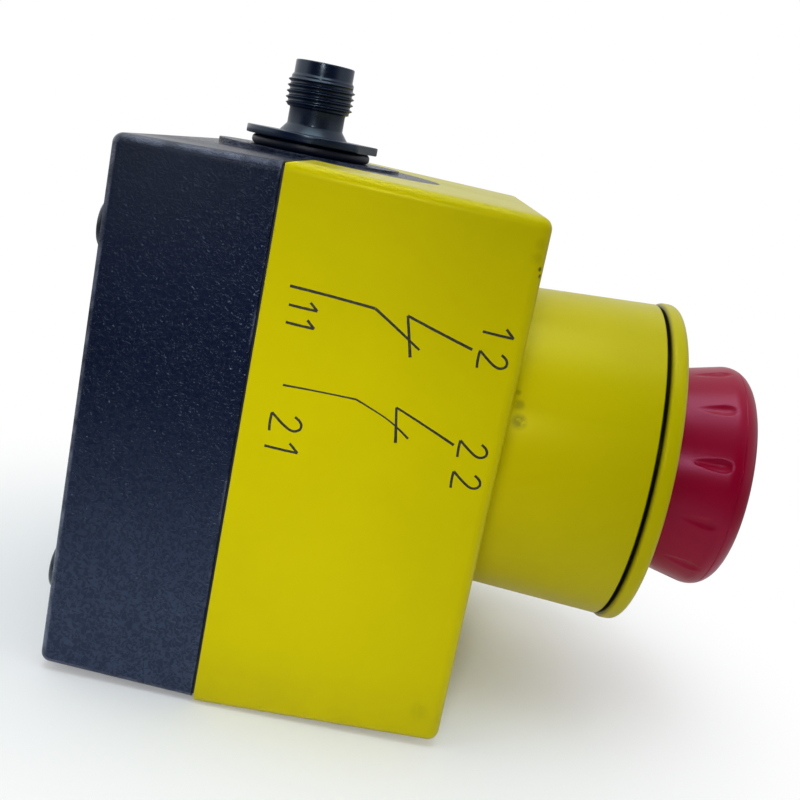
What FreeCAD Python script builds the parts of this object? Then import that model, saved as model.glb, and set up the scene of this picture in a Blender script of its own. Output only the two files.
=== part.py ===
import FreeCAD, Part
import math
import os

# Emergency stop switch in a two-part wall enclosure, in millimetres.
# Depth is measured from the wall forwards to the button, along -Y. X is across, Z is up, and the plug
# stands on the top wall. The origin is the middle of the four wall screws, in the plane of the wall.

# Clearances
SNUG = 0.05
RUNNING = 0.1
LOOSE = 0.3

# Enclosure
FOOT = 2.2              # the grommets hold the back this far off the wall
PARTING = 27.3          # depth of the joint between base and cover
FRONT = 66.1            # depth of the cover's front face
LIP_HALF = 42.5         # half of the cover's width at the joint
LIP_STEP = 0.45         # the base stands back from the cover's lip
BASE_DRAFT = 1.5        # degrees
COVER_DRAFT = 1.4       # degrees
WALL = 2.8
FLOOR = 3.0
BASE_ROUND = 1.6
COVER_ROUND = 1.8
LIP_ROUND = 0.25
LIP_EASE = (2.8, 6.5)   # length and radius of the curve that leads the lip in, above and below
JOINT_SLOT = 0.45       # dark slot that shows outside the gasket

# Screws of the cover, in pillars at the corners
PILLAR_AT = 36.2
PILLAR_R = 4.2
SCREW_R = 2.0
SCREW_HEAD_R = 3.5
SCREW_HEAD = 2.6
SCREW_SUNK = 6.0        # depth of the counterbore
SCREW_GRIP = 13.0       # length in the base
SLOT = 0.9

# Screw places on the wall
WALL_SPACING_X = 69.0
WALL_SPACING_Z = 55.0
WALL_HOLE_R = 2.25
GROMMET_R = 4.2
GROMMET_NECK_R = 3.15
GROMMET_LIP = 0.8
GROMMET_BEVEL = 1.0

# Gasket in the joint
GASKET = 1.4
GASKET_OUT = 41.3       # half of its outer width

# Place of the plug on the top wall, and the round tongue of the base under it
PLUG_DEPTH = FOOT + 23.25
TONGUE_R = 23.3
TONGUE_THICK = 3.0
PAD_R = 16.0
PAD_TOP = 42.7
SEAT_R = 13.5           # flat seat of the lock nut inside
SEAT_Z = 38.3
PLUG_HOLE_R = 8.15

# Plug, heights above the middle of the enclosure
SHANK_R = 8.0
SHANK_END = 33.0
FLANGE_R = 11.6
FLANGE_Z = (44.45, 45.85)
FLANGE_FLAT = 10.5
FLANGE_TURN = 73.5      # degrees from -X towards the front
CONE_R = 6.05
NECK_R = 4.9
NECK_Z = 47.3
THREAD_R = 5.9
THREAD_Z = (50.1, 55.4)
NOSE_R = 5.15
NOSE_TOP = 58.1
NOSE_BEVEL = 0.3
SOCKET_R = 4.25
INSERT_R = 5.4
INSERT_END = 34.0
STEP_Z = (45.5, 46.2)    # step in the bore that holds the insert
SOCKET_FLOOR = 49.5
KEY = (0.9, 0.7)
PIN_R = 0.5
PIN_CIRCLE_R = 2.5
PIN_Z = (31.0, 56.6)
ORING_IN_R = 8.3
ORING_OUT_R = 10.45
NUT_FLATS = 20.0
NUT_THICK = 3.7

# Collar
COLLAR_R = (27.3, 28.75)        # at the cover and at its mouth
COLLAR_END = FOOT + 89.4
COLLAR_BORE_R = (25.2, 25.9)    # at its floor and at its mouth
COLLAR_FLOOR = 3.0
SPIGOT_R = 26.9                 # bottom of the dark groove, and seat of the rim
SPIGOT = 2.2
RIM_R = 29.25
RIM_BORE_R = 25.6
RIM_BACK = FOOT + 90.0
RIM_FRONT = FOOT + 93.1
RIM_ROUND = 1.3
RIM_BACK_ROUND = 0.9

# Actuator: bezel, neck and barrel
PANEL_HOLE_R = 11.15
KEYWAY = (3.2, 12.3)            # width, and reach from the axis
BARREL_R = 11.0
BARREL_END = 52.2
BEZEL_R = 15.0
BEZEL_TOP = 75.4
BEZEL_BEVEL = 1.4
SEAL_THICK = 0.6
GUIDE_R = 8.1                   # bore that guides the cam sleeve
SPRING_POCKET_R = 10.8
SPRING_SEAT = 72.2
COLLARED_NECK_R = 12.8
NECK_TOP = 93.2
NECK_SEAL_AT = 88.2
NECK_SEAL = 2.0
NECK_GROOVE = 0.9
LATCH_AT = 64.3
LATCH_WIRE = 1.2
RING_NUT_R = 14.5
RING_NUT = 4.6
RING_NUT_NOTCHES = 12

# Mushroom head
TRAVEL = 4.0
CAP_BACK = 94.2
CAP_BACK_R = 17.2
CAP_R = 21.1
CAP_SHOULDER = FOOT + 108.3
CAP_FRONT = FOOT + 110.1
CAP_ROUND = 4.1
CAP_SKIRT = 2.0
CAP_CEILING = 106.5
CAP_TUBE_R = (13.1, 14.5)
CAP_TUBE_END = 86.2
CAP_HUB_R = 10.5
CAP_HUB_END = 96.7
DENTS = 12
DENT_PHASE = 19.0               # degrees, of the first dent
DENT_ENDS = (99.9, 106.3)       # pointed end and blunt end
DENT_WIDTH = 2.3
DENT_DEPTH = 0.45

# Cam sleeve and plunger
SLEEVE_R = 8.0
SLEEVE_BORE_R = 4.1
SLEEVE_ENDS = (58.2, 104.2)
SLEEVE_GROOVE = (LATCH_AT + TRAVEL, LATCH_AT + TRAVEL + LATCH_WIRE + 2 * LOOSE)
SLEEVE_GROOVE_R = 7.0
ROD_R = 4.0
ROD_TIP = 105.8
ROD_FLANGE_R = 6.5
CLIP = 0.9
CLIP_R = 6.0
PUSHER = (24.0, 8.0, 3.0)       # across, high, thick
PUSHER_BACK = 45.0

# Contact holder and contact blocks
HOLDER = (30.0, 42.0, 2.5)
HOLDER_BACK = 49.0
HOLDER_RING_R = 14.0
HOLDER_RING_END = 58.0
ARM = (22.0, 2.4)
ARM_END = 36.0
HOOK = (1.0, 1.5)
BLOCK = (10.0, 36.8)            # across and high
BLOCK_ENDS = (15.0, 40.6)
BLOCK_AT = 6.0
CHAMBER = (7.6, 21.0)
CHAMBER_ENDS = (17.5, 38.0)
TERMINAL_AT = 14.8
TERMINAL_POCKET = (11.6, 17.6)
TERMINAL_DEPTH = 36.2
CONTACT_PLUNGER = 3.6
BRIDGE = (4.0, 17.0, 1.0)
BRIDGE_BACK = 32.0
RIVET_R = 1.4
RIVET = 0.8
RIVET_AT = 7.0
STRIP = 0.8
TAB_AT = 20.0
TERMINAL_HEAD_R = 2.6
TERMINAL_SCREW_R = 1.5
TERMINAL_SCREW = (16.0, 18.4, 26.0)     # head, clamp and tip
WIRE_R = 0.8
WIRE_BEND_R = 5.0
WIRE_IN_AT = 8.4
WIRE_CLAMP_DEPTH = 19.2
UPPER_WIRE_Z = (27.0, 22.5)             # bends below the pin and above the terminal
LOWER_WIRE_Z = (26.0, 25.0, -26.0)      # bends below the pin, above and below the block
LOWER_WIRE_BEHIND = (3.5, 9.8)          # across, and depth behind the block

# Springs: mean radius, wire, turns
RETURN_SPRING = (9.3, 1.2, 5)
CONTACT_SPRING = (1.8, 0.5, 6)
SPRING_SIDES = 12

UP = FreeCAD.Vector(0, 0, 1)
TO_WALL = FreeCAD.Vector(0, 1, 0)


def at(x, depth, z):
    """Point of the model at a depth in front of the wall."""
    return FreeCAD.Vector(x, -depth, z)


def rounded_wire(points, radii, closed):
    """Straight runs through the points, with a tangent arc at each corner that has a radius."""
    count = len(points)
    edges = []
    last = None
    first = None
    for i, corner in enumerate(points):
        before = points[i - 1]
        after = points[(i + 1) % count]
        is_end = not closed and i in (0, count - 1)
        entry = exit_ = corner
        middle = None
        if radii[i] and not is_end:
            back = (before - corner).normalize()
            ahead = (after - corner).normalize()
            half = back.getAngle(ahead) / 2
            entry = corner + back * (radii[i] / math.tan(half))
            exit_ = corner + ahead * (radii[i] / math.tan(half))
            inward = (back + ahead).normalize()
            middle = corner + inward * (radii[i] / math.sin(half) - radii[i])
        if last is not None and last.distanceToPoint(entry) > 1e-6:
            edges.append(Part.LineSegment(last, entry).toShape())
        if first is None:
            first = entry
        if middle is not None:
            edges.append(Part.Arc(entry, middle, exit_).toShape())
        last = exit_
    if closed and last.distanceToPoint(first) > 1e-6:
        edges.append(Part.LineSegment(last, first).toShape())
    return Part.Wire(edges)


def turned(profile, origin, axis, place):
    """Solid of revolution. A profile point is (radius, along) or (radius, along, corner radius)."""
    points = [place(p[0], p[1]) for p in profile]
    radii = [p[2] if len(p) > 2 else 0 for p in profile]
    face = Part.Face(rounded_wire(points, radii, True))
    return face.revolve(origin, axis, 360)


def turned_on_button(profile, x=0, z=0):
    """Turned about an axis along the depth, through x and z."""
    return turned(profile, at(x, 0, z), TO_WALL, lambda radius, depth: at(x + radius, depth, z))


def turned_on_plug(profile):
    """Turned about the upright axis of the plug."""
    return turned(profile, at(0, PLUG_DEPTH, 0), UP, lambda radius, z: at(radius, PLUG_DEPTH, z))


def rod(radius, back, front, x=0, z=0):
    return Part.makeCylinder(radius, front - back, at(x, front, z), TO_WALL)


def plug_disc(radius, low, high):
    return Part.makeCylinder(radius, high - low, at(0, PLUG_DEPTH, low), UP)


def block(x, depth, z):
    """Box from pairs of limits."""
    return Part.makeBox(x[1] - x[0], depth[1] - depth[0], z[1] - z[0], at(x[0], depth[1], z[0]))


def tapered_block(back, back_half, front, front_half):
    """Square block whose width changes evenly from back to front."""
    return Part.makeWedge(-front_half, -front, -front_half, -back_half, -back_half,
                          front_half, -back, front_half, back_half, back_half)


def slope(degrees, length):
    return math.tan(math.radians(degrees)) * length


def base_block(inset, back):
    """Outline of the base, drawn in by inset, from a depth to the joint."""
    half = LIP_HALF - LIP_STEP - inset
    return tapered_block(back, half - slope(BASE_DRAFT, PARTING - back), PARTING, half)


def cover_block(inset, front):
    """Outline of the cover, drawn in by inset, from the joint to a depth."""
    half = LIP_HALF - inset
    return tapered_block(PARTING, half, front, half - slope(COVER_DRAFT, front - PARTING))


def on_joint(edge):
    return all(abs(vertex.Point.y + PARTING) < 0.01 for vertex in edge.Vertexes)


def corners(half_x, half_z):
    return [(x, z) for x in (-half_x, half_x) for z in (-half_z, half_z)]


def pillar_places():
    return corners(PILLAR_AT, PILLAR_AT)


def wall_places():
    return corners(WALL_SPACING_X / 2, WALL_SPACING_Z / 2)


def gasket_ring():
    """Seal in the joint: three sides, and the fourth up to the tongue."""
    inner = GASKET_OUT - GASKET
    depth = (PARTING - GASKET, PARTING)
    ring = block((-GASKET_OUT, GASKET_OUT), depth, (-GASKET_OUT, GASKET_OUT))
    ring = ring.cut(block((-inner, inner), depth, (-inner, inner)))
    gate = TONGUE_R - LOOSE
    return ring.cut(block((-gate, gate), depth, (0, GASKET_OUT)))


def joint_slot():
    """Slot in the base's rim outside the gasket, up to the tongue."""
    depth = (PARTING - JOINT_SLOT, PARTING)
    slot = block((-LIP_HALF, LIP_HALF), depth, (-LIP_HALF, LIP_HALF))
    slot = slot.cut(block((-GASKET_OUT, GASKET_OUT), depth, (-GASKET_OUT, GASKET_OUT)))
    return slot.cut(block((-TONGUE_R, TONGUE_R), depth, (0, LIP_HALF)))


def base_box():
    shell = base_block(0, FOOT)
    shell = shell.makeFillet(BASE_ROUND, [e for e in shell.Edges if not on_joint(e)])
    shell = shell.cut([base_block(WALL, FOOT + FLOOR), joint_slot()])
    top_wall = cover_block(0, FRONT).cut(cover_block(TONGUE_THICK, FRONT))
    tongue = top_wall.common(plug_disc(TONGUE_R, 0, PAD_TOP))
    adds = [tongue, plug_disc(PAD_R, SEAT_Z + WALL, PAD_TOP), plug_disc(SEAT_R, SEAT_Z, PAD_TOP - 1)]
    cuts = [plug_disc(PLUG_HOLE_R, SEAT_Z - 1, PAD_TOP + 1), gasket_ring()]
    for x, z in pillar_places():
        adds.append(rod(PILLAR_R, FOOT + FLOOR / 2, PARTING, x, z))
        cuts.append(rod(SCREW_R + RUNNING, PARTING - SCREW_GRIP - 1, PARTING, x, z))
    for x, z in wall_places():
        cuts.append(rod(GROMMET_NECK_R + SNUG, FOOT, FOOT + FLOOR, x, z))
    return shell.fuse(adds).cut(cuts).removeSplitter()


def lip_ease(side):
    """Sliver outside the curve that leads the lip in towards the base, above or below."""
    length, radius = LIP_EASE
    heights = sorted((side * (LIP_HALF - 1), side * LIP_HALF))
    sliver = block((-LIP_HALF, LIP_HALF), (PARTING, PARTING + length), heights)
    centre = at(-LIP_HALF, PARTING + length, side * (LIP_HALF - radius))
    return sliver.cut(Part.makeCylinder(radius, 2 * LIP_HALF, centre, FreeCAD.Vector(1, 0, 0)))


def cover():
    shell = cover_block(0, FRONT)
    shell = shell.makeFillet(COVER_ROUND, [e for e in shell.Edges if not on_joint(e)])
    shell = shell.makeFillet(LIP_ROUND, [e for e in shell.Edges if on_joint(e)])
    shell = shell.cut([cover_block(WALL, FRONT - FLOOR), lip_ease(1), lip_ease(-1)])
    pillars = [rod(PILLAR_R, PARTING, FRONT - FLOOR / 2, x, z) for x, z in pillar_places()]
    keyway = block((-KEYWAY[0] / 2, KEYWAY[0] / 2), (FRONT - FLOOR, FRONT), (0, KEYWAY[1]))
    cuts = [plug_disc(TONGUE_R + LOOSE, PILLAR_AT, PAD_TOP + 1), rod(PANEL_HOLE_R, PARTING, FRONT), keyway]
    for x, z in pillar_places():
        cuts.append(rod(SCREW_R + LOOSE, PARTING, FRONT, x, z))
        cuts.append(rod(SCREW_HEAD_R + LOOSE, FRONT - SCREW_SUNK, FRONT, x, z))
    return shell.fuse(pillars).cut(cuts).removeSplitter()


def cover_gasket():
    low = GASKET_OUT - GASKET
    arch = plug_disc(TONGUE_R + LOOSE - SNUG, low, GASKET_OUT)
    arch = arch.cut(plug_disc(TONGUE_R + SNUG, low, GASKET_OUT))
    arch = arch.common(block((-LIP_HALF, LIP_HALF), (PARTING, FRONT), (low, GASKET_OUT)))
    return gasket_ring().fuse(arch)


def cover_screws():
    head_back = FRONT - SCREW_SUNK
    head_front = head_back + SCREW_HEAD
    screws = []
    for x, z in pillar_places():
        screw = rod(SCREW_HEAD_R, head_back, head_front, x, z)
        screw = screw.fuse(rod(SCREW_R, PARTING - SCREW_GRIP, head_back, x, z))
        slot = block((x - SLOT / 2, x + SLOT / 2), (head_front - SLOT, head_front),
                     (z - SCREW_HEAD_R, z + SCREW_HEAD_R))
        screws.append(screw.cut(slot))
    return Part.makeCompound(screws)


def wall_grommets():
    back = FOOT + FLOOR
    profile = [
        (WALL_HOLE_R, 0), (GROMMET_R - GROMMET_BEVEL, 0), (GROMMET_R, GROMMET_BEVEL), (GROMMET_R, FOOT),
        (GROMMET_NECK_R, FOOT), (GROMMET_NECK_R, back), (GROMMET_R - LOOSE, back),
        (GROMMET_R - LOOSE, back + GROMMET_LIP), (WALL_HOLE_R, back + GROMMET_LIP)]
    return Part.makeCompound([turned_on_button(profile, x, z) for x, z in wall_places()])


def protective_collar():
    """Cup that flares to its mouth, with a spigot for the rim."""
    floor = FRONT + COLLAR_FLOOR
    mouth = COLLAR_END + SPIGOT
    return turned_on_button([
        (PANEL_HOLE_R, FRONT), (COLLAR_R[0], FRONT), (COLLAR_R[1], COLLAR_END), (SPIGOT_R, COLLAR_END),
        (SPIGOT_R, mouth), (COLLAR_BORE_R[1], mouth), (COLLAR_BORE_R[0], floor), (PANEL_HOLE_R, floor)])


def collar_rim():
    """Ring that caps the spigot and leaves the dark groove behind it."""
    seat = COLLAR_END + SPIGOT
    return turned_on_button([
        (SPIGOT_R + SNUG, RIM_BACK), (RIM_R, RIM_BACK, RIM_BACK_ROUND), (RIM_R, RIM_FRONT, RIM_ROUND),
        (RIM_BORE_R, RIM_FRONT, RIM_ROUND), (RIM_BORE_R, seat), (SPIGOT_R + SNUG, seat)])


def actuator_body():
    """Bezel on the floor of the collar, neck in front of it, and barrel through the wall."""
    bezel = FRONT + COLLAR_FLOOR + SEAL_THICK
    groove_r = COLLARED_NECK_R - NECK_GROOVE
    latch = (LATCH_AT, LATCH_AT + LATCH_WIRE + 2 * LOOSE)
    latch_r = SLEEVE_R + LOOSE + LATCH_WIRE + RUNNING
    return turned_on_button([
        (GUIDE_R, BARREL_END), (BARREL_R, BARREL_END), (BARREL_R, bezel), (BEZEL_R, bezel),
        (BEZEL_R, BEZEL_TOP - BEZEL_BEVEL), (BEZEL_R - BEZEL_BEVEL, BEZEL_TOP), (COLLARED_NECK_R, BEZEL_TOP),
        (COLLARED_NECK_R, NECK_SEAL_AT), (groove_r, NECK_SEAL_AT), (groove_r, NECK_SEAL_AT + NECK_SEAL),
        (COLLARED_NECK_R, NECK_SEAL_AT + NECK_SEAL), (COLLARED_NECK_R, NECK_TOP),
        (SPRING_POCKET_R, NECK_TOP), (SPRING_POCKET_R, SPRING_SEAT), (GUIDE_R, SPRING_SEAT),
        (GUIDE_R, latch[1]), (latch_r, latch[1]), (latch_r, latch[0]), (GUIDE_R, latch[0])])


def bezel_seal():
    floor = FRONT + COLLAR_FLOOR
    top = floor + SEAL_THICK
    return rod(BEZEL_R - SEAL_THICK, floor, top).cut(rod(BARREL_R + RUNNING, floor, top))


def neck_seal():
    """Ring in the groove of the neck that wipes the inside of the head's tube."""
    inner = COLLARED_NECK_R - NECK_GROOVE + SNUG
    outer = CAP_TUBE_R[0] - SNUG
    back = NECK_SEAL_AT + RUNNING
    front = NECK_SEAL_AT + NECK_SEAL - RUNNING
    return turned_on_button([(inner, back), (outer, back), (outer, front), (inner, front)])


def ring_nut():
    front = FRONT - FLOOR
    nut = rod(RING_NUT_R, front - RING_NUT, front).cut(rod(BARREL_R + SNUG, front - RING_NUT, front))
    for i in range(RING_NUT_NOTCHES):
        notch = block((RING_NUT_R - 1, RING_NUT_R + 1), (front - RING_NUT, front - 1), (-1, 1))
        notch.rotate(at(0, 0, 0), TO_WALL, 360 * i / RING_NUT_NOTCHES)
        nut = nut.cut(notch)
    return nut


def latch_ring():
    """Open spring ring round the cam sleeve."""
    inner = SLEEVE_R + LOOSE
    back = LATCH_AT + LOOSE
    ring = rod(inner + LATCH_WIRE, back, back + LATCH_WIRE).cut(rod(inner, back, back + LATCH_WIRE))
    return ring.cut(block((-1.5, 1.5), (back, back + LATCH_WIRE), (0, inner + 2 * LATCH_WIRE)))


def dent_tool(angle):
    """Round-ended rod that dips into the leaning side of the head, from a pointed end to a blunt one."""
    lean = math.atan2(CAP_R - CAP_BACK_R, CAP_SHOULDER - CAP_BACK)
    out = at(math.cos(lean), -math.sin(lean), 0)
    radius = (DENT_WIDTH ** 2 / 4 + DENT_DEPTH ** 2) / (2 * DENT_DEPTH)

    def above_side(depth, height):
        return at(CAP_BACK_R + math.tan(lean) * (depth - CAP_BACK), depth, 0) + out * height

    start = above_side(DENT_ENDS[0], radius)
    end = above_side(DENT_ENDS[1] - DENT_WIDTH / 2 * math.cos(lean), radius - DENT_DEPTH)
    tool = Part.makeCylinder(radius, start.distanceToPoint(end), start, end - start)
    tool = tool.fuse(Part.makeSphere(radius, end))
    tool.rotate(at(0, 0, 0), TO_WALL, angle)
    return tool


def mushroom_cap():
    """Hollow head with a hub for the cam sleeve and a tube that slides over the neck."""
    rise = CAP_FRONT - CAP_SHOULDER
    dome_r = (CAP_R ** 2 + rise ** 2) / (2 * rise)
    half_r = CAP_R / 2
    half_up = CAP_FRONT - dome_r + math.sqrt(dome_r ** 2 - half_r ** 2)
    skirt_r = (CAP_BACK_R - CAP_SKIRT, CAP_R - CAP_SKIRT - 1)
    bore_r = SLEEVE_R + SNUG
    outline = [(0, CAP_CEILING), (bore_r, CAP_CEILING), (bore_r, CAP_HUB_END), (CAP_HUB_R, CAP_HUB_END),
               (CAP_HUB_R, CAP_CEILING), (CAP_TUBE_R[0], CAP_CEILING), (CAP_TUBE_R[0], CAP_TUBE_END),
               (CAP_TUBE_R[1], CAP_TUBE_END), (CAP_TUBE_R[1], CAP_CEILING), (skirt_r[1], CAP_CEILING),
               (skirt_r[0], CAP_BACK), (CAP_BACK_R, CAP_BACK), (CAP_R, CAP_SHOULDER)]
    points = [at(r, depth, 0) for r, depth in outline]
    edges = [Part.LineSegment(a, b).toShape() for a, b in zip(points, points[1:])]
    tip = at(0, CAP_FRONT, 0)
    edges.append(Part.Arc(points[-1], at(half_r, half_up, 0), tip).toShape())
    edges.append(Part.LineSegment(tip, points[0]).toShape())
    cap = Part.Face(Part.Wire(edges)).revolve(at(0, 0, 0), TO_WALL, 360)
    level = [e for e in cap.Edges if e.BoundBox.YLength < 0.01]
    cap = cap.makeFillet(CAP_ROUND, [e for e in level if abs(e.BoundBox.YMin + CAP_SHOULDER) < 0.01])
    step = 360 / DENTS
    return cap.cut([dent_tool(DENT_PHASE + step * i) for i in range(DENTS)])


def cam_sleeve():
    back, front = SLEEVE_ENDS
    low, high = SLEEVE_GROOVE
    return turned_on_button([
        (SLEEVE_BORE_R, back), (SLEEVE_R, back), (SLEEVE_R, low), (SLEEVE_GROOVE_R, low),
        (SLEEVE_GROOVE_R, high), (SLEEVE_R, high), (SLEEVE_R, front), (SLEEVE_BORE_R, front)])


def plunger():
    """Push rod through the cam sleeve, with the plate that works the contacts."""
    flange = SLEEVE_ENDS[0] - RUNNING
    groove = SLEEVE_ENDS[1]
    stem = turned_on_button([
        (0, PUSHER_BACK), (ROD_R, PUSHER_BACK), (ROD_R, flange - 2.4), (ROD_FLANGE_R, flange - 2.4),
        (ROD_FLANGE_R, flange), (ROD_R, flange), (ROD_R, groove), (ROD_R - 1, groove),
        (ROD_R - 1, groove + CLIP + RUNNING), (ROD_R, groove + CLIP + RUNNING), (ROD_R, ROD_TIP),
        (0, ROD_TIP)])
    across, high, thick = PUSHER
    plate = block((-across / 2, across / 2), (PUSHER_BACK, PUSHER_BACK + thick), (-high / 2, high / 2))
    return stem.fuse(plate).removeSplitter()


def plunger_clip():
    """Clip in the groove of the rod, open at one side."""
    back = SLEEVE_ENDS[1] + SNUG
    clip = rod(CLIP_R, back, back + CLIP).cut(rod(ROD_R - 1 + SNUG, back, back + CLIP))
    return clip.cut(block((-1.5, 1.5), (back, back + CLIP), (0, CLIP_R)))


def contact_holder():
    """Ring on the barrel, plate, and two hooked arms that hold the contact blocks."""
    across, high, thick = HOLDER
    plate = block((-across / 2, across / 2), (HOLDER_BACK, HOLDER_BACK + thick), (-high / 2, high / 2))
    holder = plate.fuse(rod(HOLDER_RING_R, HOLDER_BACK, HOLDER_RING_END))
    for side in (-1, 1):
        outer = side * high / 2
        inner = outer - side * ARM[1]
        tip = inner - side * HOOK[0]
        half = ARM[0] / 2
        holder = holder.fuse(block((-half, half), (ARM_END, HOLDER_BACK), sorted((outer, inner))))
        holder = holder.fuse(block((-half, half), (ARM_END, ARM_END + HOOK[1]), sorted((tip, inner))))
    return holder.cut(rod(BARREL_R + RUNNING, HOLDER_BACK, HOLDER_RING_END)).removeSplitter()


def terminal_limits(end):
    """Z limits of the terminal pocket at the upper (1) or lower (-1) end."""
    return sorted((end * TERMINAL_POCKET[0], end * TERMINAL_POCKET[1]))


def contact_block(x):
    """Housing with a switch chamber in the middle and an open terminal at each end."""
    back, front = BLOCK_ENDS
    wide = (x - BLOCK[0] / 2, x + BLOCK[0] / 2)
    inside = (x - CHAMBER[0] / 2, x + CHAMBER[0] / 2)
    half = BLOCK[1] / 2
    guide = CONTACT_PLUNGER / 2 + LOOSE
    cuts = [block(inside, CHAMBER_ENDS, (-CHAMBER[1] / 2, CHAMBER[1] / 2)),
            block((x - guide, x + guide), (CHAMBER_ENDS[1], front), (-guide, guide))]
    strip_back = BRIDGE_BACK + BRIDGE[2] + 2 * RIVET
    strip = (strip_back - LOOSE, strip_back + STRIP + LOOSE)
    wire_x = math.copysign(WIRE_IN_AT, x)
    for end in (-1, 1):
        cuts.append(block(inside, (back, TERMINAL_DEPTH), terminal_limits(end)))
        cuts.append(block((x - 2.2, x + 2.2), strip, sorted((0, end * TERMINAL_POCKET[0]))))
        hook = sorted((end * (half - HOOK[0]), end * half))
        cuts.append(block(wide, (ARM_END - LOOSE, ARM_END + HOOK[1] + LOOSE), hook))
        wire_low = at(wire_x, WIRE_CLAMP_DEPTH, end * (half - 1) - 1)
        cuts.append(Part.makeCylinder(WIRE_R + LOOSE, 2, wire_low, UP))
    return block(wide, BLOCK_ENDS, (-half, half)).cut(cuts)


def contact_plunger(x):
    half = CONTACT_PLUNGER / 2
    stem = block((x - half, x + half), (BRIDGE_BACK + BRIDGE[2], PUSHER_BACK - RUNNING), (-half, half))
    tip = [e for e in stem.Edges if abs(e.BoundBox.YMax + PUSHER_BACK - RUNNING) < 0.01]
    return stem.makeChamfer(0.5, tip)


def contact_bridge(x):
    """Bar with two rivets that rest on the fixed contacts."""
    across, high, thick = BRIDGE
    front = BRIDGE_BACK + thick
    bar = block((x - across / 2, x + across / 2), (BRIDGE_BACK, front), (-high / 2, high / 2))
    return bar.fuse([rod(RIVET_R, front, front + RIVET, x, z) for z in (-RIVET_AT, RIVET_AT)])


def fixed_contacts(x):
    """Two strips, each from its rivet to the tab under its terminal screw."""
    rivet = BRIDGE_BACK + BRIDGE[2] + RIVET
    strip = rivet + RIVET
    wide = (x - 2, x + 2)
    leg = TERMINAL_POCKET[0] + 0.6
    contacts = []
    for end in (-1, 1):
        piece = rod(RIVET_R, rivet, strip, x, end * RIVET_AT)
        tab = sorted((end * leg, end * (TERMINAL_POCKET[1] - 0.4)))
        piece = piece.fuse([
            block(wide, (strip, strip + STRIP), sorted((end * 5, end * (leg + STRIP)))),
            block(wide, (TAB_AT, strip + STRIP), sorted((end * leg, end * (leg + STRIP)))),
            block((x - 3, x + 3), (TAB_AT, TAB_AT + STRIP), tab)])
        hole = rod(TERMINAL_SCREW_R + RUNNING, TAB_AT, TAB_AT + STRIP, x, end * TERMINAL_AT)
        contacts.append(piece.cut(hole))
    return Part.makeCompound([c.removeSplitter() for c in contacts])


def terminal_screws():
    head, clamp, tip = TERMINAL_SCREW
    screws = []
    for x, z in corners(BLOCK_AT, TERMINAL_AT):
        screw = rod(TERMINAL_HEAD_R, head, clamp, x, z).fuse(rod(TERMINAL_SCREW_R, clamp, tip, x, z))
        slot = block((x - SLOT / 2, x + SLOT / 2), (head, head + SLOT),
                     (z - TERMINAL_HEAD_R, z + TERMINAL_HEAD_R))
        screws.append(screw.cut(slot))
    return Part.makeCompound(screws)


def coil_spring(spring, back, front, x=0):
    """Coil of square wire with flattened ends, between two seats."""
    mean_r, wire, turns = spring
    half = wire / 2
    dead = 0.75
    steps = SPRING_SIDES * turns
    loops = []
    for i in range(steps + 1):
        turn = turns * i / steps
        share = min(max((turn - dead) / (turns - 2 * dead), 0), 1)
        depth = back + half + (front - back - wire) * share
        angle = 2 * math.pi * turn
        loop = []
        for out, along in ((-half, -half), (half, -half), (half, half), (-half, half)):
            radius = mean_r + out
            loop.append(at(x + radius * math.cos(angle), depth + along, radius * math.sin(angle)))
        loops.append(loop)
    faces = [Part.Face(Part.makePolygon(end + end[:1])) for end in (loops[0], loops[-1])]
    for one, two in zip(loops, loops[1:]):
        for j in range(4):
            k = (j + 1) % 4
            for corner in ((one[j], one[k], two[k]), (one[j], two[k], two[j])):
                faces.append(Part.Face(Part.makePolygon(list(corner) + [corner[0]])))
    coil = Part.Solid(Part.Shell(faces))
    if coil.Volume < 0:
        coil.reverse()
    return coil


def connector_shell():
    """Body of the plug: shank, flange with two flats, cone, neck, thread and hollow nose."""
    shell = turned_on_plug([
        (SOCKET_R, NOSE_TOP), (NOSE_R - NOSE_BEVEL, NOSE_TOP), (NOSE_R, NOSE_TOP - NOSE_BEVEL),
        (NOSE_R, THREAD_Z[1] + 0.4), (THREAD_R, THREAD_Z[1]),
        (THREAD_R, THREAD_Z[0] + 0.4), (NECK_R, THREAD_Z[0]), (NECK_R, NECK_Z), (CONE_R, FLANGE_Z[1]),
        (FLANGE_R, FLANGE_Z[1]), (FLANGE_R, FLANGE_Z[0]), (SHANK_R, FLANGE_Z[0]), (SHANK_R, SHANK_END),
        (INSERT_R + RUNNING, SHANK_END), (INSERT_R + RUNNING, STEP_Z[0]), (SOCKET_R, STEP_Z[1])])
    for turn in (FLANGE_TURN, FLANGE_TURN + 180):
        flat = block((-FLANGE_R - 1, -FLANGE_FLAT),
                     (PLUG_DEPTH - FLANGE_R, PLUG_DEPTH + FLANGE_R), FLANGE_Z)
        flat.rotate(at(0, PLUG_DEPTH, 0), UP, turn)
        shell = shell.cut(flat)
    across, high = KEY
    key = block((-across / 2, across / 2), (PLUG_DEPTH + SOCKET_R - high, PLUG_DEPTH + SOCKET_R + 0.2),
                (SOCKET_FLOOR, NOSE_TOP - 1))
    return shell.fuse(key).removeSplitter()


def pin_places():
    return [(x, PLUG_DEPTH + depth) for x, depth in corners(*[PIN_CIRCLE_R / math.sqrt(2)] * 2)]


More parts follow.
